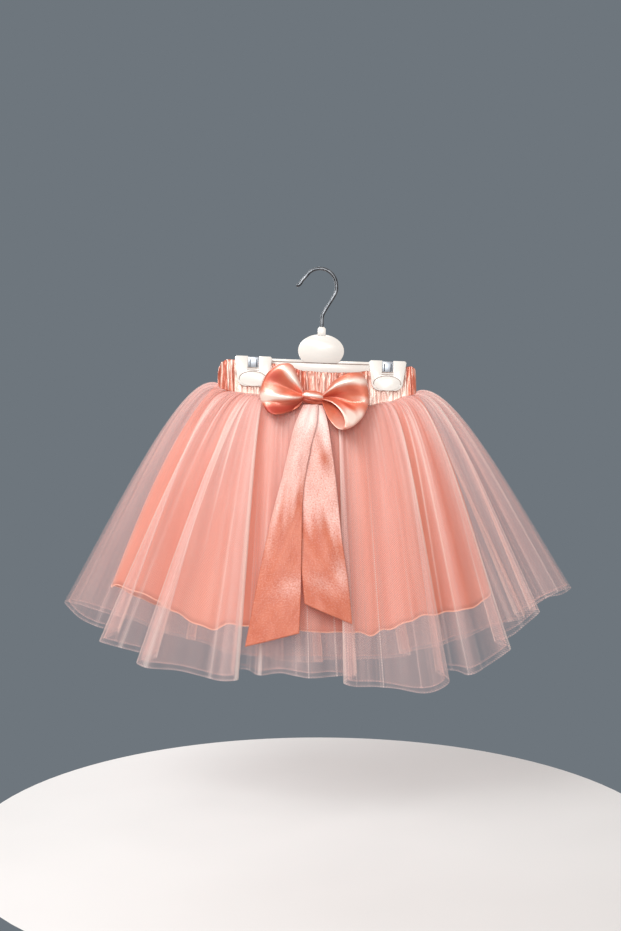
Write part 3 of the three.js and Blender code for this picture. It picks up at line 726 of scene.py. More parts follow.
# %% Lining
LINING_FOLDS = table("at x y z", [
    (0, -221, 2, -330),
    (0.05, -211, -9, -331),
    (0.1, -189, -13, -336),
    (0.15, -167, -22, -345),
    (0.2, -146, -26, -357),
    (0.26, -116, -38, -370),
    (0.32, -90, -34, -367),
    (0.38, -59, -41, -368),
    (0.44, -29, -40, -371),
    (0.5, 2, -43, -373),
    (0.56, 30, -41, -374),
    (0.62, 54, -43, -375),
    (0.68, 77, -36, -368),
    (0.74, 102, -34, -360),
    (0.8, 129, -25, -355),
    (0.86, 152, -20, -353),
    (0.92, 170, -11, -346),
    (1, 181, 1, -334),
    (1.08, 172, 12, -342),
    (1.18, 140, 18, -356),
    (1.3, 96, 30, -368),
    (1.42, 44, 31, -374),
    (1.54, -8, 36, -377),
    (1.66, -62, 31, -374),
    (1.78, -124, 30, -366),
    (1.88, -176, 18, -352),
    (1.95, -206, 12, -338),
])
LINING = {"per_row": 16, "rings": 40, "stand": -0.6, "start": -0.4, "near": (0.42, 0.22), "far": (0.72, 0.62),
          "cut_length": 0.24, "wall": 0.5, "folds": 2.2, "gathers": 0.5, "inset": 0.6, "hem": 1.3}


def lining_grid():
    rng = np.random.default_rng(5)
    count = len(LINING_FOLDS["x"]) * LINING["per_row"]
    where = np.arange(count) / LINING["per_row"]
    _, top = fold_tops(LINING_FOLDS, where, LINING["stand"], LINING["start"])
    hem = fold_hems(LINING_FOLDS, where)
    near, far = [between(top, hem, (level, level, fallen)) for level, fallen in (LINING["near"], LINING["far"])]
    rows = np.linspace(0, 1, LINING["rings"])
    down = rows[:, None]
    angle = np.arange(count) / count * 2 * np.pi
    grid = fall(rows, near, far, hem, top)
    folds = LINING["folds"] * wobble(angle, range(8, 22), rng) * down ** 1.4
    gathers = LINING["gathers"] * wobble(angle, range(50, 90), rng) * hill(down, 0, 0.25)
    grid = grid + outward_of(grid) * (folds + gathers - LINING["inset"] * down)[..., None]
    grid[..., 2] += LINING["hem"] * wobble(angle, range(10, 34), rng) * down ** 3
    return grid, rows


lining_points, lining_rows = lining_grid()
lining_steps = ring_steps(lining_points[-1:])[0]
lining_mesh = cloth_mesh("lining_satin", lining_points, running(lining_steps) * MM,
                         lining_rows * LINING["cut_length"], True)
lining, lining_area = walled(link("lining_cloth", lining_mesh), LINING["wall"], lining_satin)
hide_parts("lining")

# %% [markdown]
# ## The waistband
# The band is a satin casing over elastic. The elastic pulls the long casing into gathers, and a narrow frill stands
# above it. A gather follows a rule, a wave across the band whose depth grows where the band hangs free, so
# Geometry Nodes pushes a smooth ring into gathers along its normals, with the depth, count and seed as inputs.

# %% A node tree that gathers a ring of cloth
def group_input(tree, names):
    node = tree.nodes.new("NodeGroupInput")
    return [Value(tree, node.outputs[name]) for name in names]


def named(tree, name):
    return add_node(tree, "GeometryNodeInputNamedAttribute", {"data_type": "FLOAT"}, {"Name": name})


def vector(tree, x, y, z):
    return add_node(tree, "ShaderNodeCombineXYZ", values={0: x, 1: y, 2: z})


def new_tree(name, numbers, seeds=()):
    """A Geometry Nodes tree with a geometry input, named number inputs and whole-number seeds."""
    tree = bpy.data.node_groups.new(name, "GeometryNodeTree")
    for direction in ("INPUT", "OUTPUT"):
        tree.interface.new_socket("Geometry", in_out=direction, socket_type="NodeSocketGeometry")
    for kind, inputs in (("NodeSocketFloat", numbers), ("NodeSocketInt", seeds)):
        for title in inputs:
            tree.interface.new_socket(title, in_out="INPUT", socket_type=kind)
    return tree


def finish_tree(tree, geometry, material):
    real = add_node(tree, "GeometryNodeRealizeInstances", values={"Geometry": geometry})
    done = add_node(tree, "GeometryNodeSetMaterial", values={"Geometry": real, "Material": material})
    out = tree.nodes.new("NodeGroupOutput")
    plug(tree, out.inputs["Geometry"], done)


def run_tree(piece, tree, values):
    """Put the tree on a piece, set its inputs by their identifiers, and bake it to a plain mesh."""
    modifier = piece.modifiers.new(tree.name, "NODES")
    modifier.node_group = tree
    for item in tree.interface.items_tree:
        if item.item_type == "SOCKET" and item.in_out == "INPUT" and item.name in values:
            modifier[item.identifier] = values[item.name]
    return baked(piece)


def gather_tree(material):
    tree = new_tree("gather_cloth", ["Depth", "Gathers", "Uneven"], ["Seed"])
    cloth, depth, gathers, uneven, seed = group_input(tree, ["Geometry", "Depth", "Gathers", "Uneven", "Seed"])
    round_it, free, down = named(tree, "round"), named(tree, "free"), named(tree, "down")
    angle = round_it * (2 * math.pi)
    ring_x, ring_y = angle.maths("COSINE", angle), angle.sine()
    where = vector(tree, ring_x * 3 + seed, ring_y * 3, down * 0.16)
    drift, size = (add_node(tree, "ShaderNodeTexNoise", values={"Vector": where, "Scale": scale, "Detail": 2.0})
                   for scale in (4.0, 8.0))
    wave = (angle * gathers + drift * uneven * 6.283).sine()
    frill = (angle * gathers * 2.7 + drift * uneven * 9.0).sine() * named(tree, "frill")
    sharp = wave * (0.5 + wave.size() * 0.5) + frill * 0.5
    strength = ((size - 0.3) * 2.8).within(0.2, 1.3)
    push = sharp * depth * free * strength
    normal = add_node(tree, "GeometryNodeInputNormal")
    offset = add_node(tree, "ShaderNodeVectorMath", {"operation": "SCALE"}, {"Vector": normal, "Scale": push})
    moved = add_node(tree, "GeometryNodeSetPosition", values={"Geometry": cloth, "Offset": offset})
    # Painted light stored for the satin: gather crests painted lighter and hollows darker, as strong as the contrast
    # mark says, plus the painted light in lit, and painted shade on the frill's deepest folds.
    marks = (frill.size() - 0.72).within(0, 1) * -2.6
    painted_gather_light = (sharp * strength * named(tree, "contrast") + named(tree, "lit") + marks).within(-1, 1)
    marked = add_node(tree, "GeometryNodeStoreNamedAttribute", {"data_type": "FLOAT", "domain": "POINT"}, {
        "Geometry": moved, "Name": "turned", "Value": painted_gather_light})
    finish_tree(tree, marked, material)
    return tree


# %% Waistband
TILT = math.radians(2)
WAIST = {"columns": 1100, "rings": 22, "gathers": 50.0, "depth": 1.9, "uneven": 3.2, "seed": 4, "wall": 0.6,
         "pinch_half": 1.3, "bar_half": 2.6, "bar_bottom": -109.0, "opening": (-3.8, -0.6), "bulge": 0.8,
         "cut_height": 0.036, "fullness": 1.6}
CLIPS = {"left": -70.0, "right": 70.4, "half": 19.4, "reach": 21.0}


def clip_grip(x):
    """1 where a clip pinches the band and 0 where the band is free."""
    nearest = np.minimum(np.abs(x - CLIPS["left"]), np.abs(x - CLIPS["right"]))
    return 1 - eased(nearest, CLIPS["half"], CLIPS["reach"])


def band_grid():
    at, length = even_shares(WAIST["columns"])
    x, _, front = waist_line(at)
    grip = clip_grip(x)
    free = band_reach(x, front)
    top, bottom = (along_band(name, x) for name in ("top", "bottom"))
    pinch = WAIST["bar_bottom"] - math.tan(TILT) * x
    rows = np.linspace(0, 1, WAIST["rings"])
    grid = np.empty((len(rows), len(at), 3))
    for i, row in enumerate(rows):
        z = between(top, bottom, row)
        closed, opened = (pinch + height for height in WAIST["opening"])
        held = between(WAIST["pinch_half"], WAIST["bar_half"], ramp(z, closed, opened))
        bulge = WAIST["bulge"] * np.sin(np.pi * row) * (1 - grip)
        half = np.maximum(free, held) * (1 - grip) + held * grip + bulge
        _, y, _ = waist_line(at, half)
        grid[i] = np.stack([x, y, z], -1)
    return grid, rows, at, length


band_points, band_rows, band_at, band_length = band_grid()
band_x = waist_line(band_at)[0]
band_down = band_rows[:, None]
everywhere = np.ones((len(band_rows), len(band_at)))
edge_pull = 0.75 + 0.55 * hill(band_down, 0, 0.12) - 0.35 * hill(band_down, 0.16, 0.06) \
    - 0.4 * hill(band_down, 1, 0.08)
# Painted light on the band: lighter under the clips and at the middle, painted shade at the right end, and lighter
# along the top edge; contrast sets how strongly the gathers are painted, more at the free ends.
clip_light = 0.36 * clip_grip(band_x) + 0.3 * hill(band_x, 2, 9) - 0.3 * (band_x > 92)
band_attributes = {
    "round": everywhere * np.arange(len(band_at)) / len(band_at),
    "free": edge_pull * np.clip(along_band("gather", band_x) / 1.3, 0.38, 0.9),
    "lit": 0.18 + clip_light + 0.12 * hill(band_down, 0, 0.1),
    "contrast": everywhere * np.where(np.abs(band_x) > 90, 0.85, 0.3),
    "frill": everywhere * hill(band_down, 0, 0.22),
    "down": everywhere * band_down,
}
band_cut = np.linspace(0, band_length * MM * WAIST["fullness"], len(band_at) + 1)
band_mesh = cloth_mesh("waistband_satin", band_points, band_cut, band_rows * WAIST["cut_height"], True,
                       band_attributes)
band_gathered = run_tree(link("waistband_cloth", band_mesh), gather_tree(band_satin), {
    "Depth": WAIST["depth"] * MM, "Gathers": WAIST["gathers"], "Uneven": WAIST["uneven"], "Seed": WAIST["seed"]})
waistband, band_area = walled(band_gathered, WAIST["wall"], band_satin)
waistband.data.shade_smooth()
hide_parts("waistband")
print("waistband area", round(band_area, 4), "m2, faces", len(waistband.data.polygons))
band_area / WAIST["cut_height"]

# %% [markdown]
# ## Rolled hem and its stitches
# The lining ends in a narrow hem, rolled over a thread and sewn round. A tube along the hem's own line is the roll,
# and short stitches lie across it at an even pitch. Both follow a path, so one Geometry Nodes tree sweeps the roll
# and another sets a stitch at each step, turned with the path.

# %% Trees that follow a path
def path_object(name, points, closed=True):
    mesh = bpy.data.meshes.new(name)
    count = len(points)
    pairs = [(k, (k + 1) % count) for k in range(count if closed else count - 1)]
    mesh.from_pydata((points * MM).tolist(), pairs, [])
    return link(name, mesh)


def roll_tree(material):
    tree = new_tree("rolled_hem", ["Radius"])
    path, radius = group_input(tree, ["Geometry", "Radius"])
    curve = add_node(tree, "GeometryNodeMeshToCurve", values={"Mesh": path})
    ring = add_node(tree, "GeometryNodeCurvePrimitiveCircle", values={"Resolution": 8, "Radius": radius})
    tube = add_node(tree, "GeometryNodeCurveToMesh", values={
        "Curve": curve, "Profile Curve": ring, "Fill Caps": True})
    smooth = add_node(tree, "GeometryNodeSetShadeSmooth", values={"Geometry": tube})
    finish_tree(tree, smooth, material)
    return tree


def stitch_tree(material):
    tree = new_tree("stitches", ["Pitch", "Length", "Radius", "Slant"])
    path, pitch, length, radius, slant = group_input(tree, ["Geometry", "Pitch", "Length", "Radius", "Slant"])
    curve = add_node(tree, "GeometryNodeMeshToCurve", values={"Mesh": path})
    spots = tree.nodes.new("GeometryNodeCurveToPoints")
    spots.mode = "LENGTH"
    plug(tree, spots.inputs["Curve"], curve)
    plug(tree, spots.inputs["Length"], pitch)
    thread = add_node(tree, "GeometryNodeMeshUVSphere", values={"Segments": 6, "Rings": 4, "Radius": radius})
    stretch = vector(tree, 1.0, 1.0, length / radius / 2)
    long_thread = add_node(tree, "GeometryNodeTransform", values={"Geometry": thread, "Scale": stretch})
    tilt = add_node(tree, "FunctionNodeEulerToRotation", values={"Euler": vector(tree, slant, 0.0, 0.0)})
    spin = add_node(tree, "FunctionNodeRotateRotation", {"rotation_space": "LOCAL"}, {
        "Rotation": Value(tree, spots.outputs["Rotation"]), "Rotate By": tilt})
    laid = add_node(tree, "GeometryNodeInstanceOnPoints", values={
        "Points": Value(tree, spots.outputs["Points"]), "Instance": long_thread, "Rotation": spin})
    smooth = add_node(tree, "GeometryNodeSetShadeSmooth", values={"Geometry": laid})
    finish_tree(tree, smooth, material)
    return tree


HEM = {"radius": 0.75, "pitch": 2.1, "stitch": 2.0, "thread": 0.16, "slant": 1.15}
hem_roll = path_object("lining_hem_roll", lining_points[-1])
run_tree(hem_roll, roll_tree(hem_satin), {"Radius": HEM["radius"] * MM})
settle(hem_roll, hem_satin)
hem_thread = path_object("lining_hem_stitches", lining_points[-1] + (0, 0, 0.3))
run_tree(hem_thread, stitch_tree(lining_satin), {
    "Pitch": HEM["pitch"] * MM, "Length": HEM["stitch"] * MM, "Radius": HEM["thread"] * MM, "Slant": HEM["slant"]})
settle(hem_thread, lining_satin)
print("hem roll faces", len(hem_roll.data.polygons), "stitch faces", len(hem_thread.data.polygons))

# %% [markdown]
# ## The bow
# The bow is one satin ribbon 50 mm wide: two loops, a knot of the same ribbon round the middle, and two ends cut
# on a slant. Each loop is a front ply that fans out of the knot, turns over at its tip and comes back behind. The
# creases that the knot squeezes in run out from it and fade, and the satin shows them as bright ridges. Patches of
# painted highlight and painted shade are laid on the loops, the knot and the ends as well.

# %% Bow loops
def curve_through(points, count):
    """A smooth open curve through given points, at even steps along it."""
    points = np.array(points, dtype=float)
    padded = np.vstack([2 * points[0] - points[1], points, 2 * points[-1] - points[-2]])
    fine = []
    for k in range(1, len(padded) - 2):
        a, b, c, d = padded[k - 1:k + 3]
        for t in np.linspace(0, 1, 24, endpoint=False):
            fine.append(b + 0.5 * t * (c - a + t * (2 * a - 5 * b + 4 * c - d + t * (3 * (b - c) + d - a))))
    fine = np.array(fine + [points[-1]])
    lengths = running(lengths_along(fine, 0))
    even = np.linspace(0, lengths[-1], count)
    return np.stack([np.interp(even, lengths, fine[:, k]) for k in range(fine.shape[1])], -1)


RIBBON = {"wall": 0.35, "width": 0.05}
# A loop's lights are painted highlights, and painted shade where the strength is below 0: place along, place across,
# spread along, spread across, strength.
LOOPS = {
    "left": {
        "top": [(-17.2, -130.2), (-20.5, -120), (-26.6, -105), (-31, -100.8), (-36.5, -99.8)],
        "tip": [(-36.5, -99.8), (-43.5, -101), (-51, -106.5), (-57, -114), (-61, -124), (-62.3, -131),
                (-60.8, -139), (-57, -146), (-52.5, -151), (-46.5, -153.1)],
        "low": [(-17.2, -136.5), (-21, -143), (-26.5, -147), (-33, -150.3), (-40, -152.5), (-46.5, -153.1)],
        "back": [(-17.2, -137.5), (-21.5, -144), (-27, -147.8), (-33.5, -150.8), (-40, -152.8), (-46.5, -153.1)],
        "creases": [(0.0, 0.0), (0.08, 3.4), (0.17, 5.2), (0.28, 1.0), (0.42, -2.8), (0.53, 0.4), (0.63, 6.6),
                    (0.71, 3.4), (0.82, -3.0), (1.0, -8.5)],
        "lights": [(0.52, 0.15, 0.4, 0.085, 1.25), (0.62, 0.645, 0.5, 0.05, 1.2), (0.93, 0.67, 0.14, 0.075, 1.0),
                   (0.8, 0.53, 0.14, 0.07, 0.35), (0.55, 0.9, 0.6, 0.13, -1.1), (0.5, 0.36, 0.5, 0.09, -0.3),
                   (0.86, 0.3, 0.16, 0.13, -0.8), (0.95, 0.86, 0.2, 0.08, -0.6)],
    },
    "right": {
        "top": [(1.6, -133.4), (10, -123), (15, -117.5), (27, -111), (39, -109.2)],
        "tip": [(39, -109.2), (45, -112), (48.4, -121), (50, -131), (49.6, -141), (46.5, -150), (41, -158.5),
                (34, -164.8), (27.5, -168), (23, -168.9)],
        "low": [(1.6, -137), (11.5, -140.6), (19, -147.5), (23.6, -156), (24.6, -163), (23, -168.9)],
        "back": [(1.6, -139), (4, -147), (8.2, -156.5), (12.5, -163), (17.5, -167.5), (23, -168.9)],
        "creases": [(0.0, 0.0), (0.08, 3.0), (0.17, 5.6), (0.30, 2.0), (0.46, -2.6), (0.58, -4.2), (0.68, -3.0),
                    (0.80, 1.6), (0.92, 4.4), (1.0, 4.0)],
        "lights": [(0.45, 0.17, 0.42, 0.055, 1.2), (0.88, 0.19, 0.16, 0.05, 0.8), (0.78, 0.84, 0.2, 0.1, 1.6),
                   (0.92, 0.68, 0.1, 0.07, 0.9), (0.5, 0.96, 0.4, 0.035, 0.9), (0.25, 0.5, 0.34, 0.12, -0.9),
                   (0.6, 0.7, 0.14, 0.05, -0.8), (0.75, 0.36, 0.2, 0.06, -0.3), (0.62, 0.5, 0.2, 0.07, 0.3),
                   (0.9, 0.45, 0.12, 0.05, 0.5)],
    },
}
LOOP = {"steps": 84, "across": 60, "open": 6.2, "knot_gap": 0.9, "back": -24.5, "lean": 0.72, "lean_from": -140.0}


def strip_places(steps, across):
    """Where each point of a strip lies, 0 to 1 along it and 0 to 1 across it."""
    return np.linspace(0, 1, steps)[:, None], np.linspace(0, 1, across)[None]


def light_patches(s, b, patches):
    """Painted light on a strip: soft patches of painted highlight, or painted shade below 0, each with its place,
    spread and strength.
    """
    return sum(power * hill(s, s0, ds) * hill(b, b0, db) for s0, b0, ds, db, power in patches)


def ply(edge_top, edge_low, tip, front, creases):
    """One ply of a loop: rows from the knot to the tip, columns from the top edge to the low edge."""
    steps, across = LOOP["steps"], LOOP["across"]
    top = curve_through(edge_top, steps)
    low = curve_through(edge_low, steps)
    end = curve_through(tip, across)
    s, b = strip_places(steps, across)
    chord = between(top[-1], low[-1], b[0][:, None])
    flat = between(top[:, None], low[:, None], b[..., None]) + (end - chord)[None] * (s ** 1.6)[..., None]
    q = np.sqrt(1 - s)
    open_by = LOOP["knot_gap"] * q + LOOP["open"] * np.sin(np.pi * np.sqrt(q)) * np.sqrt(q)
    crease = np.interp(b, *np.array(creases).T)
    for _ in range(3):
        crease = np.concatenate([crease[:, :1], (crease[:, :-2] + 2 * crease[:, 1:-1] + crease[:, 2:]) / 4,
                                 crease[:, -1:]], axis=1)
    fan = np.sin(np.pi * s ** 0.75) * 0.9 + 0.1 * (1 - s)
    lean = LOOP["lean"] * np.clip(LOOP["lean_from"] - flat[..., 1], 0, None)
    bulge = 1 + 0.25 * np.sin(np.pi * b)
    if front:
        y = LOOP["back"] - lean - open_by * bulge - crease * fan
    else:
        y = LOOP["back"] - lean + open_by * 0.9 - 0.3 * crease * fan
    return np.stack([flat[..., 0], y, flat[..., 1]], -1)


def ribbon_mesh(name, grid, turned):
    """A strip of ribbon, rows along it and columns across."""
    down = running(lengths_along(grid, 0).mean(axis=1)) * MM
    across = np.linspace(0, RIBBON["width"], grid.shape[1])
    return cloth_mesh(name, grid, across, down, False, {"turned": turned})


def bow_loop(side):
    shape = LOOPS[side]
    front = ply(shape["top"], shape["low"], shape["tip"], True, shape["creases"])
    behind = ply(shape["top"], shape["back"], shape["tip"], False, shape["creases"])
    grid = np.concatenate([front, behind[-2::-1]])
    # The back ply is painted lighter towards its tip and darker towards the knot.
    back_ply_painted_light = np.linspace(0.5, -0.5, LOOP["steps"] - 1)[:, None] + np.zeros(LOOP["across"])
    lit = light_patches(*strip_places(LOOP["steps"], LOOP["across"]), shape["lights"])
    name = f"bow_loop_{side}_ribbon"
    mesh = ribbon_mesh(name, grid, np.concatenate([lit, back_ply_painted_light]))
    piece, area = walled(link(name, mesh), RIBBON["wall"], ribbon_satin)
    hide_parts(f"bow_loop_{side}")
    area / RIBBON["width"]
    print(name, "ribbon", round(area / RIBBON["width"], 3), "m")


for loop_side in LOOPS:
    bow_loop(loop_side)

# %% Knot
KNOT = {"left": -18.4, "right": 3.0, "z_left": -133.4, "z_right": -136.4, "y": -21.6, "depth": 6.6, "height": 6.6,
        "around": 120, "across": 60, "ends": 0.42, "ridge": 1.3, "round": 0.046}


def knot_grid():
    """A ribbon wrapped once round: a rounded ridge above with a painted highlight, and a hollow below it with
    painted shade.
    """
    angle = np.linspace(0, 2 * np.pi, KNOT["around"], endpoint=False)[None]
    share = np.linspace(0, 1, KNOT["across"])[:, None]
    x = between(KNOT["left"], KNOT["right"], share)
    z0 = between(KNOT["z_left"], KNOT["z_right"], share)
    swell = KNOT["ends"] + (1 - KNOT["ends"]) * np.sin(np.pi * np.clip(share, 0.02, 0.98)) ** 0.35
    folds = 0.05 * np.cos(7 * angle + 3 * share + 0.8) + 0.035 * np.cos(12 * angle - 4 * share)
    ridge = hill(angle, 0.25, 0.27)
    hollow = 1.4 * hill(angle, 2 * np.pi - 0.75, 0.5)
    reach = swell * (1 + folds + (ridge - hollow) * KNOT["ridge"] / KNOT["depth"])
    y = KNOT["y"] - KNOT["depth"] * np.cos(angle) * reach
    z = z0 + KNOT["height"] * np.sin(angle) * reach
    # Painted light: a highlight painted along the ridge and shade painted into the hollow below it.
    turned = 1.05 * ridge * swell - 0.7 * hill(angle, 2 * np.pi - 0.8, 0.6)
    return np.stack([x + 0 * angle, y, z], -1), turned


knot_points, knot_painted_light = knot_grid()
knot_mesh = cloth_mesh("bow_knot_ribbon", knot_points, np.linspace(0, 0.045, KNOT["around"] + 1),
                       np.linspace(0, 0.02, KNOT["across"]), True, {"turned": knot_painted_light})
knot, knot_area = walled(link("bow_knot_ribbon", knot_mesh), RIBBON["wall"] * 2, ribbon_satin)
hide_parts("bow_knot")
knot_area / KNOT["round"]

# %% Hanging ends
TAILS = {
    "left": table("y leftX leftZ rightX rightZ", [
        (-25, -17, -142.4, -2, -142.4),
        (-32.2, -20.5, -150, -2.5, -150),
        (-38.8, -26, -164, -4, -164),
        (-44, -31, -184, -9, -184),
        (-50.6, -38, -215, -15, -215),
        (-56.5, -46, -245, -18, -245),
        (-62.5, -53, -274, -18.6, -274),
        (-68, -58.5, -301, -19, -299),
        (-73, -64, -328, -19.3, -325),
        (-77.5, -69, -356, -20, -348),
        (-81, -74, -382, -21, -369),
    ]),
    "right": table("y leftX leftZ rightX rightZ", [
        (-22.6, -13, -143, 2, -143),
        (-29.1, -15, -151, 5, -151),
        (-35.6, -16, -164, 8, -164),
        (-41.1, -16, -184, 11, -184),
        (-48.5, -18, -215, 15, -215),
        (-54.2, -20.4, -245, 18, -245),
        (-59.8, -20.6, -274, 21, -276),
        (-65.2, -19.8, -299, 25, -304),
        (-70, -17.8, -320, 28.5, -332),
        (-74, -16, -341, 31, -361),
    ]),
}
# upper and fade set a painted highlight over the top of each end and where it fades out; glints are painted glints,
# and painted shade where below 0.
TAIL = {"rows": 190, "across": 48, "bow": 1.6, "curl": 0.9, "pleat": 1.1, "squeeze": 0.07, "upper": 0.48,
        "waves": ((3, 1.0, 0.5), (5, -1.3, 0.35), (9, 0.8, 0.18), (16, -0.7, 0.07), (27, 1.1, 0.04)),
        "seed": {"left": 31, "right": 47}, "fade": {"left": (0.42, 0.6, 0.12), "right": (0.52, 0.64, -0.02)},
        "glints": {
            "left": [(0.06, 0.6, 0.07, 0.5, 0.7), (0.2, 0.5, 0.14, 0.3, 0.15), (0.55, 0.12, 0.14, 0.12, 0.25),
                     (0.8, 0.8, 0.045, 0.35, 0.25)],
            "right": [(0.06, 0.6, 0.07, 0.5, 0.7), (0.17, 0.8, 0.1, 0.14, 0.4), (0.27, 0.72, 0.05, 0.18, -0.5),
                      (0.79, 0.88, 0.07, 0.16, 0.4), (0.87, 0.4, 0.04, 0.3, 0.22)],
        }}


def tail_grid(rows, side):
    """One hanging end, and its painted light: a painted highlight all over the top, which fades downward, and
    painted glints and shade in patches.
    """
    rng = np.random.default_rng(TAIL["seed"][side])
    left, right = (curve_through(np.stack([rows[edge + "X"], rows["y"], rows[edge + "Z"]], -1), TAIL["rows"])
                   for edge in ("left", "right"))
    s, b = strip_places(TAIL["rows"], TAIL["across"])
    grid = between(left[:, None], right[:, None], b[..., None])
    squeeze = np.exp(-s / TAIL["squeeze"])
    pleats = TAIL["pleat"] * squeeze * np.cos(2 * np.pi * (2.2 * b + 0.15))
    waves = sum(rng.normal() * size * np.sin(n * np.pi * (s + k * 0.35 * (b - 0.5)) + rng.uniform(0, 6.28))
                for n, k, size in TAIL["waves"])
    bow = TAIL["bow"] * np.sin(np.pi * b) * (0.5 + 0.5 * s)
    curl = TAIL["curl"] * (np.abs(2 * b - 1) ** 6) * np.sin(7 * s + 9 * (b > 0.5))
    grid[..., 1] -= bow + waves * (1 - squeeze) + pleats + 0.5 * curl
    border = 0.035 * np.sin(9 * b + TAIL["seed"][side]) + 0.025 * np.sin(23 * b - 11 * s)
    first, last, slope = TAIL["fade"][side]
    # Painted highlight over the top of the end, fading out down a wavering border, with the painted glints and shade
    # added.
    upper = TAIL["upper"] * (1 - ramp(s + slope * b + border, first, last))
    return grid, upper + light_patches(s, b, TAIL["glints"][side])


for tail_side, tail_rows in TAILS.items():
    points, tail_painted_light = tail_grid(tail_rows, tail_side)
    tail_name = f"bow_tail_{tail_side}_ribbon"
    tail_mesh = ribbon_mesh(tail_name, points, tail_painted_light)
    tail, tail_area = walled(link(tail_name, tail_mesh), RIBBON["wall"], tail_satin)
    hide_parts(f"bow_tail_{tail_side}")
    tail_area / RIBBON["width"]
    print(tail_name, "area", round(tail_area, 4), "m2")

# %% [markdown]
# ## The hanger
# The hook is one bent wire, so a round section is swept along its route. The moulded parts already have the right
# shape in the frame: a copy of each is welded, its flat faces are made whole again and a small bevel is cut, because
# every moulded edge is slightly round and catches a line of light.

# %% Softened copies of the moulded parts
def softened(node, name, width, segments, material):
    mesh = bpy.data.objects[node].data.copy()
    mesh.name = name
    piece = link(name, mesh)
    weld = piece.modifiers.new("weld", "WELD")
    weld.merge_threshold = 0.00001
    flat = piece.modifiers.new("flat", "DECIMATE")
    flat.decimate_type = "DISSOLVE"
    flat.angle_limit = math.radians(2)
    bevel = piece.modifiers.new("bevel", "BEVEL")
    bevel.width = width * MM
    bevel.segments = segments
    bevel.limit_method = "ANGLE"
    bevel.angle_limit = math.radians(28)
    bevel.harden_normals = True
    baked(piece)
    piece.data.shade_smooth()
    settle(piece, material)
    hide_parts(node)
    return piece


MOULDED = {"hanger_bar": (0.45, hanger_white, "hanger_plastic")}
MOULDED |= {f"clip_{side}_{face}": (0.45, clip_white, "clip_plastic")
            for side in ("left", "right") for face in ("front", "back")}
MOULDED |= {f"clip_{side}_spring": (0.15, spring_steel, "spring_steel") for side in ("left", "right")}
for part, (edge, part_finish, part_slot) in MOULDED.items():
    softened(part, f"{part}_moulded", edge, 3, part_finish)

# %% [markdown]
# ## Painted shadow lines and ribs on the clips
# Each jaw has an oval pad let into it. The shade in the narrow gap round its upper half, and two lines of shade
# above the pad, are painted as thin dark lines, and a spring leaf is stiffened by two pressed ribs. They are fine
# lines that follow a route, so the roll tree that swept the lining's hem sweeps these as well, from paths drawn in
# the hanger's own upright frame.

# %% Painted shadow lines and ribs on the clips and the bar
CLIP_LINES = {"x": {"left": -66.2, "right": 74.2}, "face": 6.5, "pad": (14.3, 8.0, -117.0), "shadow_bars": (-105.6, -107.6),
              "bar_half": 6.2, "rib": (3.5, -96.4, -104.2), "leaf": 5.72, "shadow_line": 0.32, "rib_radius": 0.55}
RAIL_LINE = {"ends": (-46, 54), "face": 1.15, "z": -97.5, "radius": 0.42}
FACES = {-1: "front", 1: "back"}


def in_hanger(points):
    """From the hanger's own upright frame to the tilted one it hangs in."""
    x, y, z = np.array(points, dtype=float).T
    return np.stack([x * math.cos(TILT) + z * math.sin(TILT), y, z * math.cos(TILT) - x * math.sin(TILT)], -1)


def fine_line(name, points, radius, material):
    line = path_object(name, in_hanger(points), closed=False)
    run_tree(line, roll_tree(material), {"Radius": radius * MM})
    return settle(line, material)


def clip_lines(side, face):
    """The painted shadow line round one jaw's pad, the two painted shadow lines above it and the ribs of its spring
    leaf.
    """
    centre = CLIP_LINES["x"][side]
    half_width, half_height, middle = CLIP_LINES["pad"]
    depth = face * CLIP_LINES["face"]
    arc = [(centre + half_width * math.cos(a), depth, middle + half_height * math.sin(a))
           for a in np.linspace(math.radians(-8), math.radians(188), 48)]
    name = f"clip_{side}_{FACES[face]}"
    fine_line(f"{name}_pad_shadow_line", arc, CLIP_LINES["shadow_line"], clip_painted_shadow)
    for number, height in enumerate(CLIP_LINES["shadow_bars"]):
        ends = [(centre + x, depth, height) for x in np.linspace(-1, 1, 6) * CLIP_LINES["bar_half"]]
        fine_line(f"{name}_bar_{number}", ends, CLIP_LINES["shadow_line"], clip_painted_shadow)
    across, high, low = CLIP_LINES["rib"]
    for number, x in enumerate((-across, across)):
        rib = [(centre + x, face * CLIP_LINES["leaf"], z) for z in np.linspace(high, low, 10)]
        fine_line(f"{name}_rib_{number}", rib, CLIP_LINES["rib_radius"], hook_steel)


for line_side in CLIP_LINES["x"]:
    for line_face in FACES:
        clip_lines(line_side, line_face)
# A painted shadow line under the bar's top rail, on each face.
for line_face, face_name in FACES.items():
    rail_line = [(x, line_face * RAIL_LINE["face"], RAIL_LINE["z"]) for x in np.linspace(*RAIL_LINE["ends"], 24)]
    fine_line(f"hanger_bar_shadow_line_{face_name}", rail_line, RAIL_LINE["radius"], clip_painted_shadow)

# %% Hook
HOOK = {"wire": 1.75, "bend": 17.3, "centre": 0.4, "sides": 24, "steps": 260, "cap": (0.02, 0.35, 0.6, 0.8, 0.93)}


def hook_route():
    """The wire's route in the hanger's own upright frame, as in its solid."""
    points = [(-24.3, -17.7), (-20.5, -15.2), (-18.4, -11.6)]
    for degrees in range(150, 9, -20):
        angle = math.radians(degrees)
        points.append((HOOK["centre"] + HOOK["bend"] * math.cos(angle),
                       HOOK["wire"] - HOOK["bend"] + HOOK["bend"] * math.sin(angle)))
    points += [(17.9, -20.4), (15.4, -27), (7.6, -40.6), (4.5, -47), (4, -52), (4, -59.9), (4, -69)]
    return curve_through(points, HOOK["steps"])


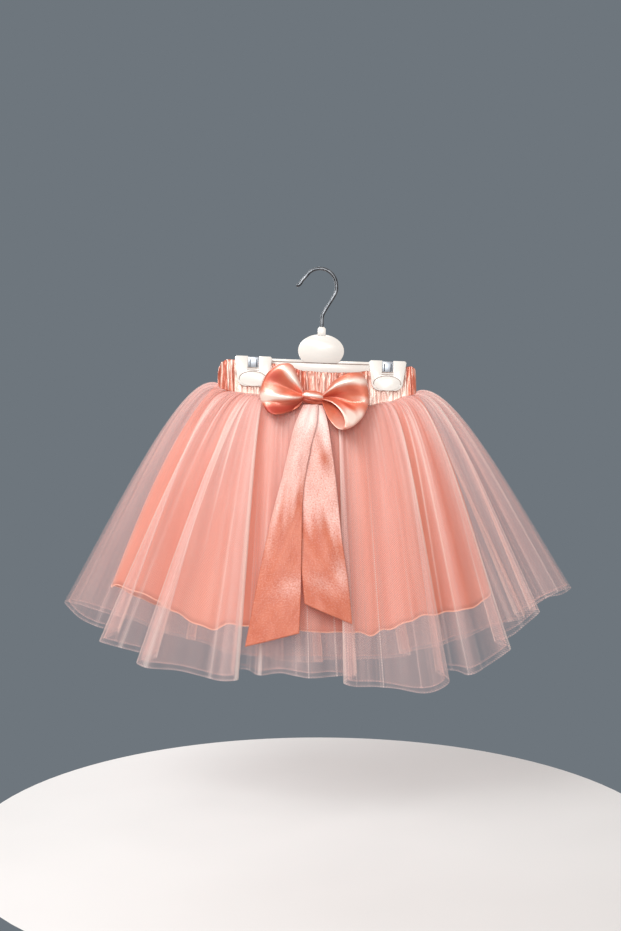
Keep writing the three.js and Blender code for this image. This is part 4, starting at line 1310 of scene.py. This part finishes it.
def hook_mesh():
    route = hook_route()
    tangent = np.gradient(route, axis=0)
    tangent /= np.linalg.norm(tangent, axis=1, keepdims=True)
    normal = np.stack([-tangent[:, 1], tangent[:, 0]], -1)
    angle = np.linspace(0, 2 * np.pi, HOOK["sides"], endpoint=False)
    radius = np.full(HOOK["steps"], HOOK["wire"])
    radius[:len(HOOK["cap"])] *= np.sqrt(HOOK["cap"])
    ring = route[:, None] + normal[:, None] * (np.cos(angle)[None] * radius[:, None])[..., None]
    y = -np.sin(angle)[None] * radius[:, None]
    x, z = ring[..., 0], ring[..., 1]
    turned = in_hanger(np.stack([x, y, z], -1).reshape(-1, 3)).reshape(*x.shape, 3)
    return cloth_mesh("hanger_hook_wire", turned, np.linspace(0, 0.011, HOOK["sides"] + 1),
                      np.linspace(0, 0.16, HOOK["steps"]), True)


hook = link("hanger_hook_wire", hook_mesh())
settle(hook, hook_steel)
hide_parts("hanger_hook")

# %% [markdown]
# ## Studio
# A plain pale floor lies below the hem, and the background is a quiet blue-grey, because pale net only shows
# against something darker than itself. Three soft lamps light the skirt from the upper left, from the front, and
# from behind, where the light shines through the net.

# %% Floor, background and lamps
FLOOR = {"z": -0.58, "radius": 0.36, "sides": 96}
floor_mesh = bpy.data.meshes.new("floor")
floor_ring = [(FLOOR["radius"] * math.cos(a), FLOOR["radius"] * math.sin(a), FLOOR["z"])
              for a in np.linspace(0, 2 * math.pi, FLOOR["sides"], endpoint=False)]
floor_mesh.from_pydata(floor_ring, [], [list(range(FLOOR["sides"]))])
floor = link("floor", floor_mesh)
floor_finish = Finish("floor_paint", roughness=0.8)
floor_tone = floor_finish.noise(floor_finish.place(), 6.0, 2.0)
floor_finish.set("Base Color", floor_finish.colours(floor_tone, srgb(222, 223, 224), srgb(230, 231, 232)))
floor_mesh.materials.append(floor_finish.material)

world = bpy.data.worlds.new("studio")
scene.world = world
world.use_nodes = True
sky = world.node_tree
sky.nodes.clear()
seen = add_node(sky, "ShaderNodeBackground", values={"Color": srgb(110, 118, 125), "Strength": 1.0})
fill = add_node(sky, "ShaderNodeBackground", values={"Color": srgb(246, 235, 229), "Strength": 0.42})
ray = add_node(sky, "ShaderNodeLightPath", output="Is Camera Ray")
both = add_node(sky, "ShaderNodeMixShader", values={0: ray, 1: fill, 2: seen})
plug(sky, sky.nodes.new("ShaderNodeOutputWorld").inputs["Surface"], both)


def lamp(name, place, target, size, watts, colour):
    data = bpy.data.lights.new(name, "AREA")
    data.size = size
    data.energy = watts
    data.color = colour
    light = bpy.data.objects.new(name, data)
    light.location = place
    aim = [t - p for t, p in zip(target, place)]
    flat = math.hypot(aim[0], aim[1])
    light.rotation_euler = (math.atan2(flat, -aim[2]), 0, math.atan2(aim[1], aim[0]) - math.pi / 2)
    scene.collection.objects.link(light)


MIDDLE = (0.0, 0.0, -0.25)
lamp("key", (-0.5, -0.85, 0.62), MIDDLE, 0.55, 12.0, (1.0, 0.985, 0.96))
lamp("front", (0.0, -1.3, 0.12), MIDDLE, 0.55, 6.9, (1.0, 0.99, 0.97))
lamp("through", (-0.4, 1.0, 0.3), MIDDLE, 0.9, 9.0, (1.0, 1.0, 1.0))

scene.view_settings.view_transform = "Standard"
scene.cycles.transparent_max_bounces = 96
scene.cycles.max_bounces = 10
